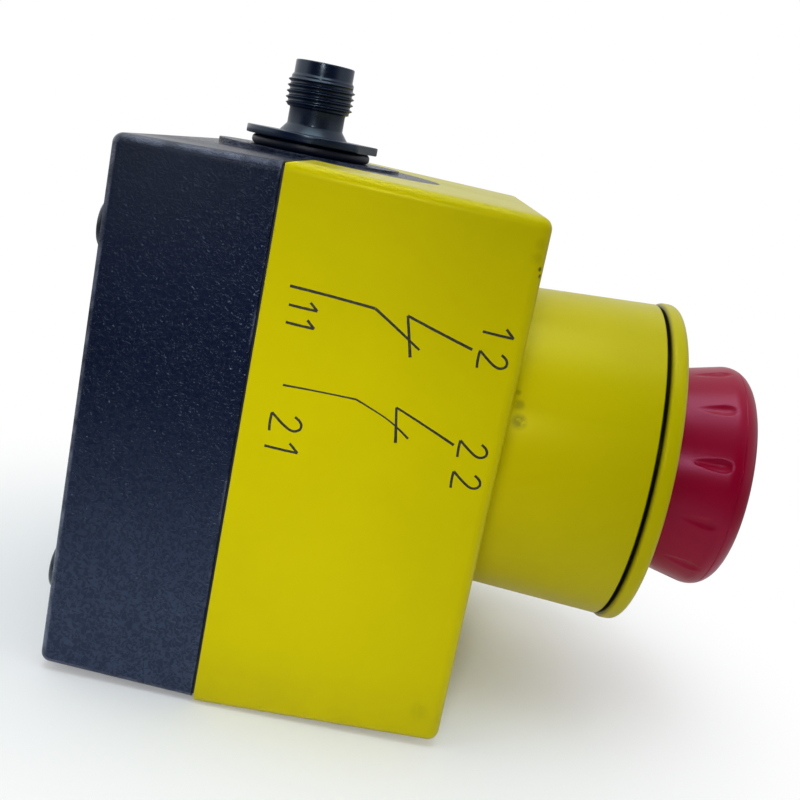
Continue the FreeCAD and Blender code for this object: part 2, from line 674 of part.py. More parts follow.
def connector_insert():
    insert = turned_on_plug([
        (0, INSERT_END), (INSERT_R, INSERT_END), (INSERT_R, STEP_Z[0] - RUNNING),
        (SOCKET_R - RUNNING, STEP_Z[1] - RUNNING), (SOCKET_R - RUNNING, SOCKET_FLOOR), (0, SOCKET_FLOOR)])
    holes = [Part.makeCylinder(PIN_R + SNUG, SOCKET_FLOOR, at(x, depth, 0), UP)
             for x, depth in pin_places()]
    return insert.cut([hole.common(plug_disc(INSERT_R, INSERT_END, SOCKET_FLOOR)) for hole in holes])


def connector_pins():
    low, high = PIN_Z
    pins = []
    for x, depth in pin_places():
        pin = Part.makeCylinder(PIN_R, high - low, at(x, depth, low), UP)
        tip = [e for e in pin.Edges if abs(e.BoundBox.ZMin - high) < 0.01]
        pins.append(pin.makeChamfer(PIN_R / 2, tip))
    return Part.makeCompound(pins)


def connector_oring():
    bevel = (FLANGE_Z[0] - PAD_TOP) / 3
    return turned_on_plug([
        (ORING_IN_R, PAD_TOP), (ORING_OUT_R - bevel, PAD_TOP), (ORING_OUT_R, PAD_TOP + bevel),
        (ORING_OUT_R, FLANGE_Z[0] - bevel), (ORING_OUT_R - bevel, FLANGE_Z[0]), (ORING_IN_R, FLANGE_Z[0])])


def connector_nut():
    corner_r = NUT_FLATS / math.sqrt(3)
    low = SEAT_Z - NUT_THICK
    angles = [math.radians(60 * i) for i in range(6)]
    ring = [at(corner_r * math.cos(a), PLUG_DEPTH + corner_r * math.sin(a), low) for a in angles]
    prism = Part.Face(Part.makePolygon(ring + ring[:1])).extrude(UP * NUT_THICK)
    return prism.cut(plug_disc(SHANK_R + SNUG, low, SEAT_Z))


def wire(route):
    """Lead along straight runs with tangent bends."""
    points = [at(*p) for p in route]
    path = rounded_wire(points, [WIRE_BEND_R] * len(points), False)
    section = Part.Wire(Part.makeCircle(WIRE_R, points[0], points[1] - points[0]))
    lead = path.makePipeShell([section], True, False)
    expected = math.pi * WIRE_R ** 2 * path.Length
    print("wire", round(path.Length, 1), "mm long, volume ratio", round(lead.Volume / expected, 4))
    return lead


def upper_wire(side):
    """From a front pin down into the upper terminal."""
    pin = PIN_CIRCLE_R / math.sqrt(2)
    clamp = (side * WIRE_IN_AT, WIRE_CLAMP_DEPTH)
    solder = (side * pin, PLUG_DEPTH + pin)
    return wire([(*solder, PIN_Z[0]), (*solder, UPPER_WIRE_Z[0]), (*clamp, UPPER_WIRE_Z[1]),
                 (*clamp, TERMINAL_AT - 1)])


def lower_wire(side):
    """From a rear pin behind the contact block and up into the lower terminal."""
    pin = PIN_CIRCLE_R / math.sqrt(2)
    clamp = (side * WIRE_IN_AT, WIRE_CLAMP_DEPTH)
    solder = (side * pin, PLUG_DEPTH - pin)
    behind = (side * LOWER_WIRE_BEHIND[0], LOWER_WIRE_BEHIND[1])
    below, above, under = LOWER_WIRE_Z
    return wire([(*solder, PIN_Z[0]), (*solder, below), (*behind, above), (*behind, under), (*clamp, under),
                 (*clamp, 1 - TERMINAL_AT)])


def contact_parts(name, x):
    """Pieces of one contact block."""
    return {
        "contact_block_" + name: contact_block(x),
        "contact_plunger_" + name: contact_plunger(x),
        "contact_bridge_" + name: contact_bridge(x),
        "contact_spring_" + name: coil_spring(CONTACT_SPRING, CHAMBER_ENDS[0], BRIDGE_BACK, x),
        "fixed_contacts_" + name: fixed_contacts(x),
    }


def main():
    parts = {
        "base_box": base_box(),
        "cover": cover(),
        "cover_gasket": cover_gasket(),
        "cover_screws": cover_screws(),
        "wall_grommets": wall_grommets(),
        "protective_collar": protective_collar(),
        "collar_rim": collar_rim(),
        "actuator_body": actuator_body(),
        "bezel_seal": bezel_seal(),
        "neck_seal": neck_seal(),
        "ring_nut": ring_nut(),
        "latch_ring": latch_ring(),
        "mushroom_cap": mushroom_cap(),
        "cam_sleeve": cam_sleeve(),
        "plunger": plunger(),
        "plunger_clip": plunger_clip(),
        "return_spring": coil_spring(RETURN_SPRING, SPRING_SEAT, CAP_HUB_END),
        "contact_holder": contact_holder(),
        **contact_parts("left", -BLOCK_AT),
        **contact_parts("right", BLOCK_AT),
        "terminal_screws": terminal_screws(),
        "connector_shell": connector_shell(),
        "connector_insert": connector_insert(),
        "connector_pins": connector_pins(),
        "connector_oring": connector_oring(),
        "connector_nut": connector_nut(),
        "wire_black": upper_wire(-1),
        "wire_blue": upper_wire(1),
        "wire_white": lower_wire(-1),
        "wire_brown": lower_wire(1),
    }
    os.makedirs("parts", exist_ok=True)
    for name, shape in parts.items():
        if not shape.isValid():
            raise ValueError(name + " is not a valid shape")
        shape.exportStep("parts/" + name + ".step")
        print(name, len(shape.Solids), "solids", round(shape.Volume, 1), "mm3")


main()
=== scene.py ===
import math

import bmesh
import bpy
from bpy.props import FloatProperty, FloatVectorProperty, IntProperty, PointerProperty
from bpy.types import Operator, Panel, PropertyGroup
from mathutils import Matrix, Vector


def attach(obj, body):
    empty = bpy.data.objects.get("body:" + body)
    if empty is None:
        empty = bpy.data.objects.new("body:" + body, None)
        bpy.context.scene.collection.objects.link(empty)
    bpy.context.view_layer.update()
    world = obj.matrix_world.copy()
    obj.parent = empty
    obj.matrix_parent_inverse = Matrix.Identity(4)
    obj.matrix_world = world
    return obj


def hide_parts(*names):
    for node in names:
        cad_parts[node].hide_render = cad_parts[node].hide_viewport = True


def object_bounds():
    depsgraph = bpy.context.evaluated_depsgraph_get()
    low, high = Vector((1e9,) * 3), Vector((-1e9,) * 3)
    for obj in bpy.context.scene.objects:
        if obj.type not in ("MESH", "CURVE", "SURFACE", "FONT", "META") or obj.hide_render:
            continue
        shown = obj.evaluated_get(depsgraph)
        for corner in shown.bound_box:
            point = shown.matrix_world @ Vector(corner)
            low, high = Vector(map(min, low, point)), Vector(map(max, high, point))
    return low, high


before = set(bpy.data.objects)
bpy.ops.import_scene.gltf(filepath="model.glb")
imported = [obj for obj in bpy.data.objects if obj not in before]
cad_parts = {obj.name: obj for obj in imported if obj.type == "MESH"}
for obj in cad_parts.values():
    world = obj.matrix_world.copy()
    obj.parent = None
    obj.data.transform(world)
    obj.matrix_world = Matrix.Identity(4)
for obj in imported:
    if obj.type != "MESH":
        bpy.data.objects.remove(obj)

bl_info = {
    "name": "Emergency stop switch",
    "version": (1, 0, 0),
    "blender": (4, 5, 0),
    "location": "3D View > Sidebar > Stop switch",
    "description": "Dresses the stop switch and sets up its studio",
    "category": "Object",
}

CAD_BOX = [list(corner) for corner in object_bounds()]
MM = 0.001
FULL_TURN = 2 * math.pi
BUTTON_AXIS = Vector((0, 1, 0))
UPRIGHT = Vector((0, 0, 1))
GROMMET_PLACES = [(x, z) for x in (-34.5, 34.5) for z in (-27.5, 27.5)]
SCREW_PLACES = [(x, z) for x in (-36.2, 36.2) for z in (-36.2, 36.2)]
PLUG_DEPTH = 25.45
# Steps round the turned pieces
HEAD_STEPS = 576
COLLAR_STEPS = 192
PLUG_STEPS = 128
SMALL_STEPS = 64
# How near a corner is looked for, and how near vertices are merged, in metres
CORNER_REACH = 3e-6
LOOSE_MERGE = 2e-6
SEAM_MERGE = 1e-6


# Settings that a user would change

class EnclosureSettings(PropertyGroup):
    base_colour: FloatVectorProperty(
        name="Base", description="Navy black of the base", subtype="COLOR", size=3,
        default=(0.0026, 0.0064, 0.030), min=0, max=1)
    cover_colour: FloatVectorProperty(
        name="Cover", description="Lemon yellow of the cover, collar and rim", subtype="COLOR", size=3,
        default=(0.675, 0.575, 0.001), min=0, max=1)
    pebble: FloatProperty(
        name="Pebble", description="Width of one pebble of the base's grain", default=0.00052,
        unit="LENGTH", subtype="DISTANCE", precision=5)
    pebble_depth: FloatProperty(
        name="Pebble depth", description="Depth of the base's grain", default=0.00014,
        unit="LENGTH", subtype="DISTANCE", precision=6)
    cover_grain: FloatProperty(
        name="Cover grain", description="Width of one grain of the cover's texture", default=0.00042,
        unit="LENGTH", subtype="DISTANCE", precision=5)


class HeadSettings(PropertyGroup):
    colour: FloatVectorProperty(
        name="Head", description="Crimson of the mushroom head", subtype="COLOR", size=3,
        default=(0.43, 0.0010, 0.032), min=0, max=1)
    dents: IntProperty(
        name="Grip dents", description="Number of grip dents round the head", default=12, min=1)
    dent_length: FloatProperty(
        name="Dent length", description="Length of one grip dent", default=0.0064,
        unit="LENGTH", subtype="DISTANCE", precision=4)
    dent_width: FloatProperty(
        name="Dent width", description="Width of one grip dent", default=0.0023,
        unit="LENGTH", subtype="DISTANCE", precision=4)
    dent_depth: FloatProperty(
        name="Dent depth", description="Depth of one grip dent", default=0.00038,
        unit="LENGTH", subtype="DISTANCE", precision=5)


class PlugSettings(PropertyGroup):
    colour: FloatVectorProperty(
        name="Plug", description="Navy black of the plug", subtype="COLOR", size=3,
        default=(0.004, 0.010, 0.036), min=0, max=1)
    pitch: FloatProperty(
        name="Pitch", description="Rise of the thread in one turn", default=0.001,
        unit="LENGTH", subtype="DISTANCE", precision=4)
    thread_radius: FloatProperty(
        name="Thread radius", description="Radius over the crests of the thread", default=0.0059,
        unit="LENGTH", subtype="DISTANCE", precision=4)


class PenSettings(PropertyGroup):
    colour: FloatVectorProperty(
        name="Ink", description="Olive black of the pen marks", subtype="COLOR", size=3,
        default=(0.012, 0.013, 0.004), min=0, max=1)
    width: FloatProperty(
        name="Line width", description="Width of a full pen line", default=0.00046,
        unit="LENGTH", subtype="DISTANCE", precision=5)


class StageSettings(PropertyGroup):
    floor_colour: FloatVectorProperty(
        name="Floor", description="Pale floor", subtype="COLOR", size=3,
        default=(0.93, 0.93, 0.93), min=0, max=1)
    top_light: FloatProperty(
        name="Top light", description="Power of the softbox overhead", default=0.34, unit="POWER")
    side_light: FloatProperty(
        name="Side light", description="Power of the small softbox behind the camera", default=0.0165,
        unit="POWER")
    lens: FloatProperty(
        name="Lens", description="Focal length on a 36 mm sensor", default=50.686, unit="CAMERA")


class StopSwitchSettings(PropertyGroup):
    enclosure: PointerProperty(type=EnclosureSettings)
    head: PointerProperty(type=HeadSettings)
    plug: PointerProperty(type=PlugSettings)
    pen: PointerProperty(type=PenSettings)
    stage: PointerProperty(type=StageSettings)


# Modelling by hand

def at(x, depth, z):
    """Point in metres from millimetres, with the depth measured from the wall to the button."""
    return Vector((x, -depth, z)) * MM


def on_button(radius, depth):
    return at(radius, depth, 0)


def on_plug(radius, z):
    return at(radius, PLUG_DEPTH, z)


def deselect():
    bpy.ops.object.select_all(action="DESELECT")


def pick(piece):
    """Makes a piece the only selected one, and the active one."""
    deselect()
    piece.select_set(True)
    bpy.context.view_layer.objects.active = piece


def edit(piece):
    pick(piece)
    bpy.ops.object.mode_set(mode="EDIT")


def leave_edit():
    bpy.ops.object.mode_set(mode="OBJECT")


def select_whole():
    bpy.ops.mesh.select_all(action="SELECT")


def apply_place():
    """Puts the place, turn and scale of the selected pieces into their meshes."""
    bpy.ops.object.transform_apply(location=True, rotation=True, scale=True)


def choose(piece, kind, test):
    """Selects the vertices or edges in edit mode that pass the test."""
    bpy.ops.mesh.select_mode(type=kind)
    bpy.ops.mesh.select_all(action="DESELECT")
    mesh = bmesh.from_edit_mesh(piece.data)
    found = {"VERT": mesh.verts, "EDGE": mesh.edges}[kind]
    for element in found:
        if test(element):
            element.select_set(True)
    mesh.select_flush_mode()
    bmesh.update_edit_mesh(piece.data)


def draw_line(name, points):
    """Chain of edges through the points, drawn on from one vertex. Stays in edit mode."""
    deselect()
    bpy.ops.mesh.primitive_plane_add(size=MM, location=points[0])
    piece = bpy.context.object
    piece.name = name
    piece.data.name = name
    apply_place()
    bpy.ops.object.mode_set(mode="EDIT")
    bpy.ops.mesh.select_mode(type="VERT")
    select_whole()
    bpy.ops.mesh.merge(type="CENTER")
    for start, end in zip(points, points[1:]):
        bpy.ops.mesh.extrude_region_move(TRANSFORM_OT_translate={"value": end - start})
    return piece


def round_corner(piece, corner, radius, segments):
    """Rounds one corner of a line."""
    choose(piece, "VERT", lambda vertex: (vertex.co - corner).length < CORNER_REACH)
    mesh = bmesh.from_edit_mesh(piece.data)
    picked = [vertex for vertex in mesh.verts if vertex.select][0]
    ways = [(edge.other_vert(picked).co - picked.co) for edge in picked.link_edges]
    half = ways[0].angle(ways[1]) / 2
    bpy.ops.mesh.bevel(offset=radius / math.tan(half), segments=segments, affect="VERTICES", profile=0.5)


def draw_profile(name, place, profile, closed=True, segments=6):
    """Outline for turning. A point is (radius, along) or (radius, along, round), in millimetres."""
    points = [place(point[0], point[1]) for point in profile]
    piece = draw_line(name, points + points[:1] if closed else points)
    select_whole()
    bpy.ops.mesh.remove_doubles(threshold=LOOSE_MERGE)
    for point, corner in zip(profile, points):
        if len(point) > 2:
            round_corner(piece, corner, point[2] * MM, segments)
    return piece


def turn(centre, axis, steps):
    """Spins the outline in edit mode into a closed turned shape."""
    select_whole()
    bpy.ops.mesh.spin(steps=steps, angle=FULL_TURN, center=centre, axis=axis)
    close_shape()


def close_shape():
    """Closes the seam of a new shape, turns its faces outwards and leaves edit mode."""
    select_whole()
    bpy.ops.mesh.remove_doubles(threshold=SEAM_MERGE)
    select_whole()
    bpy.ops.mesh.normals_make_consistent(inside=False)
    leave_edit()


def smooth(piece, degrees=32):
    pick(piece)
    bpy.ops.object.shade_smooth_by_angle(angle=math.radians(degrees))


def apply_modifier(piece, name):
    pick(piece)
    bpy.ops.object.modifier_apply(modifier=name)


def join(pieces, name):
    """Makes one piece of several."""
    deselect()
    for piece in pieces:
        piece.select_set(True)
    bpy.context.view_layer.objects.active = pieces[0]
    bpy.ops.object.join()
    pieces[0].name = name
    pieces[0].data.name = name
    return pieces[0]


def copy_to(piece, shift):
    """Copy with its own mesh, moved by the shift."""
    pick(piece)
    bpy.ops.object.duplicate(linked=False)
    twin = bpy.context.object
    bpy.ops.transform.translate(value=shift)
    apply_place()
    return twin


def repeat(piece, places, name):
    """One piece of copies at the places, in millimetres across the wall. The first piece is removed."""
    copies = [copy_to(piece, at(x, 0, z)) for x, z in places]
    bpy.data.objects.remove(piece)
    return join(copies, name)


def joined_copy(node, name):
    """Copy of a CAD node with its triangles joined, so that its rounded edges shade evenly."""
    piece = bpy.data.objects.new(name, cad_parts[node].data.copy())
    piece.data.name = name
    bpy.context.scene.collection.objects.link(piece)
    edit(piece)
    select_whole()
    bpy.ops.mesh.remove_doubles(threshold=LOOSE_MERGE)
    bpy.ops.mesh.customdata_custom_splitnormals_clear()
    leave_edit()
    smooth(piece, 30)
    return piece


def finish(piece, body, material, slot, *nodes):
    """Gives a piece its finish, its body and the nodes that it stands for."""
    piece.data.materials.clear()
    piece.data.materials.append(material)
    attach(piece, body)
    if nodes:
        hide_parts(*nodes)


# Finishes

# Dust colour of the base, which also stands for a painted floor reflection low down
BASE_DUST_AND_REFLECTION = (0.042, 0.058, 0.108, 1)
# Painted highlight on the rounded edges of the base
BASE_EDGE_HIGHLIGHT = (0.22, 0.24, 0.34, 1)
BASE_EDGE = (0.16, 0.18, 0.26, 1)
BASE_SPECK = (0.16, 0.17, 0.2, 1)
COVER_FILM = (0.16, 0.14, 0.03, 1)
COVER_NICK = (0.07, 0.055, 0.02, 1)
COVER_SPECK = (0.12, 0.10, 0.03, 1)
DARK_DIRT = (0.06, 0.055, 0.01, 1)
# Painted shade in the groove between collar and rim
GROOVE_SHADE = (0.022, 0.020, 0.003, 1)
HEAD_SPECK = (0.45, 0.2, 0.22, 1)
THIN_INK = (0.11, 0.10, 0.008, 1)
WHITE = (1, 1, 1, 1)
# Corner of the base that hands have polished, in millimetres
HANDLED_CORNER = (-42, 4, 42)


def put(tree, kind, inputs=None, **settings):
    """Places a node, with its settings, constants and links."""
    node = tree.nodes.new(kind)
    for name, value in settings.items():
        setattr(node, name, value)
    for name, value in (inputs or {}).items():
        if isinstance(value, bpy.types.NodeSocket):
            tree.links.new(value, node.inputs[name])
        else:
            node.inputs[name].default_value = value
    return node


def calc(tree, operation, first, second=0.0):
    return put(tree, "ShaderNodeMath", {0: first, 1: second}, operation=operation).outputs[0]


def times(tree, first, second):
    return calc(tree, "MULTIPLY", first, second)


def ramp(tree, value, low, high, to_low=0.0, to_high=1.0):
    """Eased step of a value from one range to another."""
    node = put(tree, "ShaderNodeMapRange", {
        "Value": value, "From Min": low, "From Max": high, "To Min": to_low, "To Max": to_high},
        interpolation_type="SMOOTHSTEP")
    return node.outputs["Result"]


def mix(tree, share, first, second):
    """Colour between two colours."""
    node = put(tree, "ShaderNodeMix", {0: share, 6: first, 7: second}, data_type="RGBA")
    return node.outputs[2]


def lay(tree, colour, under, mask, strength):
    """Colour laid over another one by a share of a mask."""
    return mix(tree, times(tree, mask, strength), under, colour)


def opaque(colour):
    return (*colour, 1.0)


def shade(colour, factor):
    return (*[channel * factor for channel in colour], 1.0)


def place_of(tree):
    return put(tree, "ShaderNodeTexCoord").outputs["Object"]


def axes_of(tree, vector):
    return put(tree, "ShaderNodeSeparateXYZ", {0: vector}).outputs


def distance(tree, place, point):
    return put(tree, "ShaderNodeVectorMath", {0: place, 1: point}, operation="DISTANCE").outputs["Value"]


def noise(tree, place, scale, detail, **more):
    """Outputs of a soft noise."""
    values = {"Vector": place, "Scale": scale, "Detail": detail, **more}
    return put(tree, "ShaderNodeTexNoise", values).outputs


def new_group(name, inputs, outputs):
    """Empty shader group with value inputs and outputs."""
    tree = bpy.data.node_groups.new(name, "ShaderNodeTree")
    for label, default in inputs.items():
        socket = tree.interface.new_socket(name=label, in_out="INPUT", socket_type="NodeSocketFloat")
        socket.default_value = default
    for label in outputs:
        tree.interface.new_socket(name=label, in_out="OUTPUT", socket_type="NodeSocketFloat")
    return tree, tree.nodes.new("NodeGroupInput").outputs, tree.nodes.new("NodeGroupOutput").inputs


def grain_group():
    """Spark-eroded grain: soft pebbles of one width, with a finer roughness on them."""
    tree, given, out = new_group("moulded_grain", {"Cells": 2000.0}, ["Height"])
    place = place_of(tree)
    drift = noise(tree, place, times(tree, given["Cells"], 0.35), 1.0)["Color"]
    reach = calc(tree, "DIVIDE", 0.9, given["Cells"])
    shift = put(tree, "ShaderNodeVectorMath", {0: drift, "Scale": reach}, operation="SCALE").outputs[0]
    bent = put(tree, "ShaderNodeVectorMath", {0: place, 1: shift}, operation="ADD").outputs[0]
    pebbles = put(tree, "ShaderNodeTexVoronoi", {
        "Vector": bent, "Scale": given["Cells"], "Smoothness": 0.55}, feature="SMOOTH_F1")
    fine = noise(tree, bent, times(tree, given["Cells"], 1.6), 2.0)["Fac"]
    tops = times(tree, calc(tree, "SUBTRACT", 1.0, pebbles.outputs["Distance"]), 0.7)
    height = calc(tree, "ADD", tops, times(tree, fine, 0.3))
    tree.links.new(height, out["Height"])
    return tree


def leather_group():
    """Leather-like grain: short winding ridges with finer bumps between them."""
    tree, given, out = new_group("leather_grain", {"Cells": 2000.0}, ["Height"])
    place = place_of(tree)
    folds = noise(tree, place, times(tree, given["Cells"], 0.62), 1.0, Distortion=0.7)["Fac"]
    off = calc(tree, "ABSOLUTE", calc(tree, "SUBTRACT", folds, 0.5))
    ridge = ramp(tree, off, 0.15, 0.0)
    fine = noise(tree, place, times(tree, given["Cells"], 1.7), 2.0)["Fac"]
    height = calc(tree, "ADD", times(tree, ridge, 0.6), times(tree, fine, 0.4))
    tree.links.new(height, out["Height"])
    return tree


def wear_group():
    """Rubbed edges: where the rounded normal leaves the true one, broken up by a coarse noise."""
    tree, given, out = new_group("rubbed_edges", {"Reach": 0.0006, "Patches": 160.0}, ["Edge", "Nick"])
    rounded = put(tree, "ShaderNodeBevel", {"Radius": given["Reach"]}, samples=6).outputs["Normal"]
    normal = put(tree, "ShaderNodeNewGeometry").outputs["Normal"]
    pair = {0: rounded, 1: normal}
    facing = put(tree, "ShaderNodeVectorMath", pair, operation="DOT_PRODUCT").outputs["Value"]
    edge = ramp(tree, calc(tree, "SUBTRACT", 1.0, facing), 0.01, 0.12)
    place = place_of(tree)
    patches = noise(tree, place, given["Patches"], 4.0)["Fac"]
    broken = ramp(tree, patches, 0.42, 0.66)
    specks = noise(tree, place, times(tree, given["Patches"], 5.0), 2.0)["Fac"]
    nick = times(tree, ramp(tree, specks, 0.66, 0.70), broken)
    tree.links.new(times(tree, edge, broken), out["Edge"])
    tree.links.new(times(tree, edge, nick), out["Nick"])
    return tree


def soil_group():
    """Handling marks: wide faint clouds, small specks, and a film that gathers towards the floor."""
    tree, given, out = new_group("handling_soil", {"Clouds": 45.0, "Film Top": -0.03, "Film Fade": 0.012},
                                 ["Cloud", "Speck", "Film"])
    place = place_of(tree)
    clouds = noise(tree, place, given["Clouds"], 5.0, Roughness=0.6)["Fac"]
    cloud = ramp(tree, clouds, 0.4, 0.75)
    cells = put(tree, "ShaderNodeTexVoronoi", {
        "Vector": place, "Scale": times(tree, given["Clouds"], 9.0)}, feature="F1").outputs
    drawn = put(tree, "ShaderNodeSeparateColor", {0: cells["Color"]}).outputs[0]
    some = ramp(tree, drawn, 0.9, 0.94)
    speck = times(tree, ramp(tree, cells["Distance"], 0.09, 0.05), some)
    height = axes_of(tree, place)["Z"]
    below = calc(tree, "DIVIDE", calc(tree, "SUBTRACT", given["Film Top"], height), given["Film Fade"])
    low = ramp(tree, below, 0.0, 1.0)
    streaks = noise(tree, place, times(tree, given["Clouds"], 6.0), 3.0)["Fac"]
    film = times(tree, low, ramp(tree, streaks, 0.3, 0.7, 0.55, 1.0))
    tree.links.new(cloud, out["Cloud"])
    tree.links.new(speck, out["Speck"])
    tree.links.new(film, out["Film"])
    return tree


def effect(name):
    """Shader group of that name, built when it is first asked for."""
    makers = {"moulded_grain": grain_group, "leather_grain": leather_group, "rubbed_edges": wear_group,
              "handling_soil": soil_group}
    return bpy.data.node_groups.get(name) or makers[name]()


def grouped(tree, name, values):
    """Places a shared effect in a material with its own values."""
    node = tree.nodes.new("ShaderNodeGroup")
    node.node_tree = effect(name)
    for label, value in values.items():
        node.inputs[label].default_value = value
    return node.outputs


def new_material(name):
    material = bpy.data.materials.new(name)
    material.use_nodes = True
    tree = material.node_tree
    shader = tree.nodes["Principled BSDF"]
    return material, tree, shader


def set_gloss(shader, level, tint):
    """Strength and colour of the plain reflection."""
    shader.inputs["Specular IOR Level"].default_value = level
    shader.inputs["Specular Tint"].default_value = opaque(tint)


def grain_bump(tree, shader, width, depth, strength, round_edge=0.00018, kind="moulded_grain"):
    """Grain as bump, on edges whose shading is eased by a small round."""
    height = grouped(tree, kind, {"Cells": 1 / width})["Height"]
    eased = put(tree, "ShaderNodeBevel", {"Radius": round_edge}, samples=8).outputs["Normal"]
    bump = put(tree, "ShaderNodeBump", {
        "Strength": strength, "Distance": depth, "Height": height, "Normal": eased})
    tree.links.new(bump.outputs["Normal"], shader.inputs["Normal"])
    return height


def painted_edge_highlight(tree):
    """Share of painted highlight on rounded edges, where the normal lies between two axes, in soft patches.
    """
    normal = put(tree, "ShaderNodeNewGeometry").outputs["Normal"]
    unsigned = put(tree, "ShaderNodeVectorMath", {0: normal}, operation="ABSOLUTE").outputs["Vector"]
    sides = axes_of(tree, unsigned)
    upright = times(tree, sides["X"], sides["Z"])
    level = times(tree, sides["Y"], calc(tree, "ADD", sides["X"], sides["Z"]))
    tilt = calc(tree, "ADD", upright, level)
    patches = noise(tree, place_of(tree), 320.0, 3.0)["Fac"]
    return times(tree, ramp(tree, tilt, 0.34, 0.49), ramp(tree, patches, 0.25, 0.75))


def base_finish(settings):
    """Navy black plastic with a leather-like grain, dust and a painted floor reflection low down, pale rubbed
    edges, a painted highlight on its rounded edges and a polished corner.
    """
    material, tree, shader = new_material("base_plastic_grained")
    height = grain_bump(tree, shader, settings.pebble, settings.pebble_depth, strength=1.0,
                        round_edge=0.0003, kind="leather_grain")
    wear = grouped(tree, "rubbed_edges", {"Reach": 0.0009, "Patches": 220.0})
    soil = grouped(tree, "handling_soil", {"Clouds": 38.0, "Film Top": 0.008, "Film Fade": 0.05})
    colour = settings.base_colour
    body = mix(tree, soil["Cloud"], shade(colour, 0.8), shade(colour, 1.0))
    # Dust and painted floor reflection: lighter and bluer towards the bottom, with the dust lying on the
    # grain's ridges
    low = ramp(tree, axes_of(tree, place_of(tree))["Z"], 0.012, -0.04, 0.0, 0.62)
    dust_and_reflection_share = calc(tree, "ADD", times(tree, soil["Film"], 0.3), low)
    film = times(tree, dust_and_reflection_share, ramp(tree, height, 0.25, 0.7, 0.5, 1.0))
    dusty_and_reflecting = mix(tree, film, body, BASE_DUST_AND_REFLECTION)
    # Painted highlight laid on the rounded edges
    edge_highlighted = lay(tree, BASE_EDGE_HIGHLIGHT, dusty_and_reflecting, painted_edge_highlight(tree), 0.55)
    rubbed = lay(tree, BASE_EDGE, edge_highlighted, wear["Edge"], 0.45)
    specked = lay(tree, BASE_SPECK, rubbed, soil["Speck"], 0.5)
    tree.links.new(specked, shader.inputs["Base Color"])
    away = distance(tree, place_of(tree), at(*HANDLED_CORNER))
    tree.links.new(ramp(tree, away, 0.04, 0.004, 0.24, 0.42), shader.inputs["Roughness"])
    set_gloss(shader, 0.22, (0.7, 0.85, 1.0))
    handled = ramp(tree, away, 0.037, 0.0, 0.0, 0.9)
    tree.links.new(times(tree, handled, handled), shader.inputs["Coat Weight"])
    shader.inputs["Coat Roughness"].default_value = 0.3
    return material


def dirt_mark(tree, point, reach):
    """Small broken mark round a point of the surface, in millimetres."""
    place = place_of(tree)
    away = distance(tree, place, at(*point))
    flecks = noise(tree, place, 1100.0, 3.0)["Fac"]
    near = ramp(tree, away, reach * MM, 0.25 * reach * MM)
    return times(tree, near, ramp(tree, flecks, 0.25, 0.52))


def groove_painted_shade(tree):
    """Share of the painted shade in the groove between collar and rim."""
    sides = axes_of(tree, place_of(tree))
    depth = times(tree, sides["Y"], -1 / MM)
    across = put(tree, "ShaderNodeCombineXYZ", {"X": sides["X"], "Y": sides["Z"]}).outputs[0]
    radius = put(tree, "ShaderNodeVectorMath", {0: across}, operation="LENGTH").outputs["Value"]
    inside = ramp(tree, calc(tree, "DIVIDE", radius, MM), 29.3, 28.3, 0.25, 1.0)
    past_collar = ramp(tree, depth, 91.35, 91.6)
    before_rim = ramp(tree, depth, 92.9, 92.3)
    return times(tree, inside, times(tree, past_collar, before_rim))


def cover_finish(name, settings, depth, round_edge, film_top, marks, shaded_groove=False):
    """Lemon yellow plastic with a fine grain, faint handling marks and dark nicks on its edges."""
    material, tree, shader = new_material(name)
    grain_bump(tree, shader, settings.cover_grain, depth, strength=0.6, round_edge=round_edge)
    wear = grouped(tree, "rubbed_edges", {"Reach": 0.0007, "Patches": 140.0})
    soil = grouped(tree, "handling_soil", {"Clouds": 30.0, "Film Top": film_top, "Film Fade": 0.012})
    colour = settings.cover_colour
    body = mix(tree, soil["Cloud"], opaque(colour), shade(colour, 0.93))
    dirty = lay(tree, COVER_FILM, body, soil["Film"], 0.16)
    nicked = lay(tree, COVER_NICK, dirty, wear["Nick"], 0.7)
    marked = lay(tree, COVER_SPECK, nicked, soil["Speck"], 0.12)
    for point, reach, strength in marks:
        marked = lay(tree, DARK_DIRT, marked, dirt_mark(tree, point, reach), strength)
    # Painted shade darkens the groove between collar and rim
    if shaded_groove:
        marked = mix(tree, groove_painted_shade(tree), marked, GROOVE_SHADE)
    tree.links.new(marked, shader.inputs["Base Color"])
    tree.links.new(ramp(tree, soil["Cloud"], 0.0, 1.0, 0.28, 0.35), shader.inputs["Roughness"])
    set_gloss(shader, 0.24, (1.0, 0.95, 0.12))
    return material


def head_finish(settings):
    """Satin crimson plastic, a little glossier where hands polish it."""
    material, tree, shader = new_material("head_plastic_satin")
    grain_bump(tree, shader, width=0.00016, depth=0.000004, strength=0.5)
    soil = grouped(tree, "handling_soil", {"Clouds": 60.0, "Film Top": -0.06})
    wear = grouped(tree, "rubbed_edges", {"Reach": 0.0008, "Patches": 200.0})
    colour = settings.colour
    body = mix(tree, soil["Cloud"], opaque(colour), shade(colour, 0.86))
    rubbed = lay(tree, shade(colour, 1.35), body, wear["Edge"], 0.2)
    specked = lay(tree, HEAD_SPECK, rubbed, soil["Speck"], 0.12)
    tree.links.new(specked, shader.inputs["Base Color"])
    tree.links.new(ramp(tree, soil["Cloud"], 0.0, 1.0, 0.28, 0.34), shader.inputs["Roughness"])
    set_gloss(shader, 0.4, (0.95, 0.4, 0.7))
    shader.inputs["Subsurface Weight"].default_value = 0.06
    shader.inputs["Subsurface Radius"].default_value = (0.001, 0.0002, 0.0002)
    return material


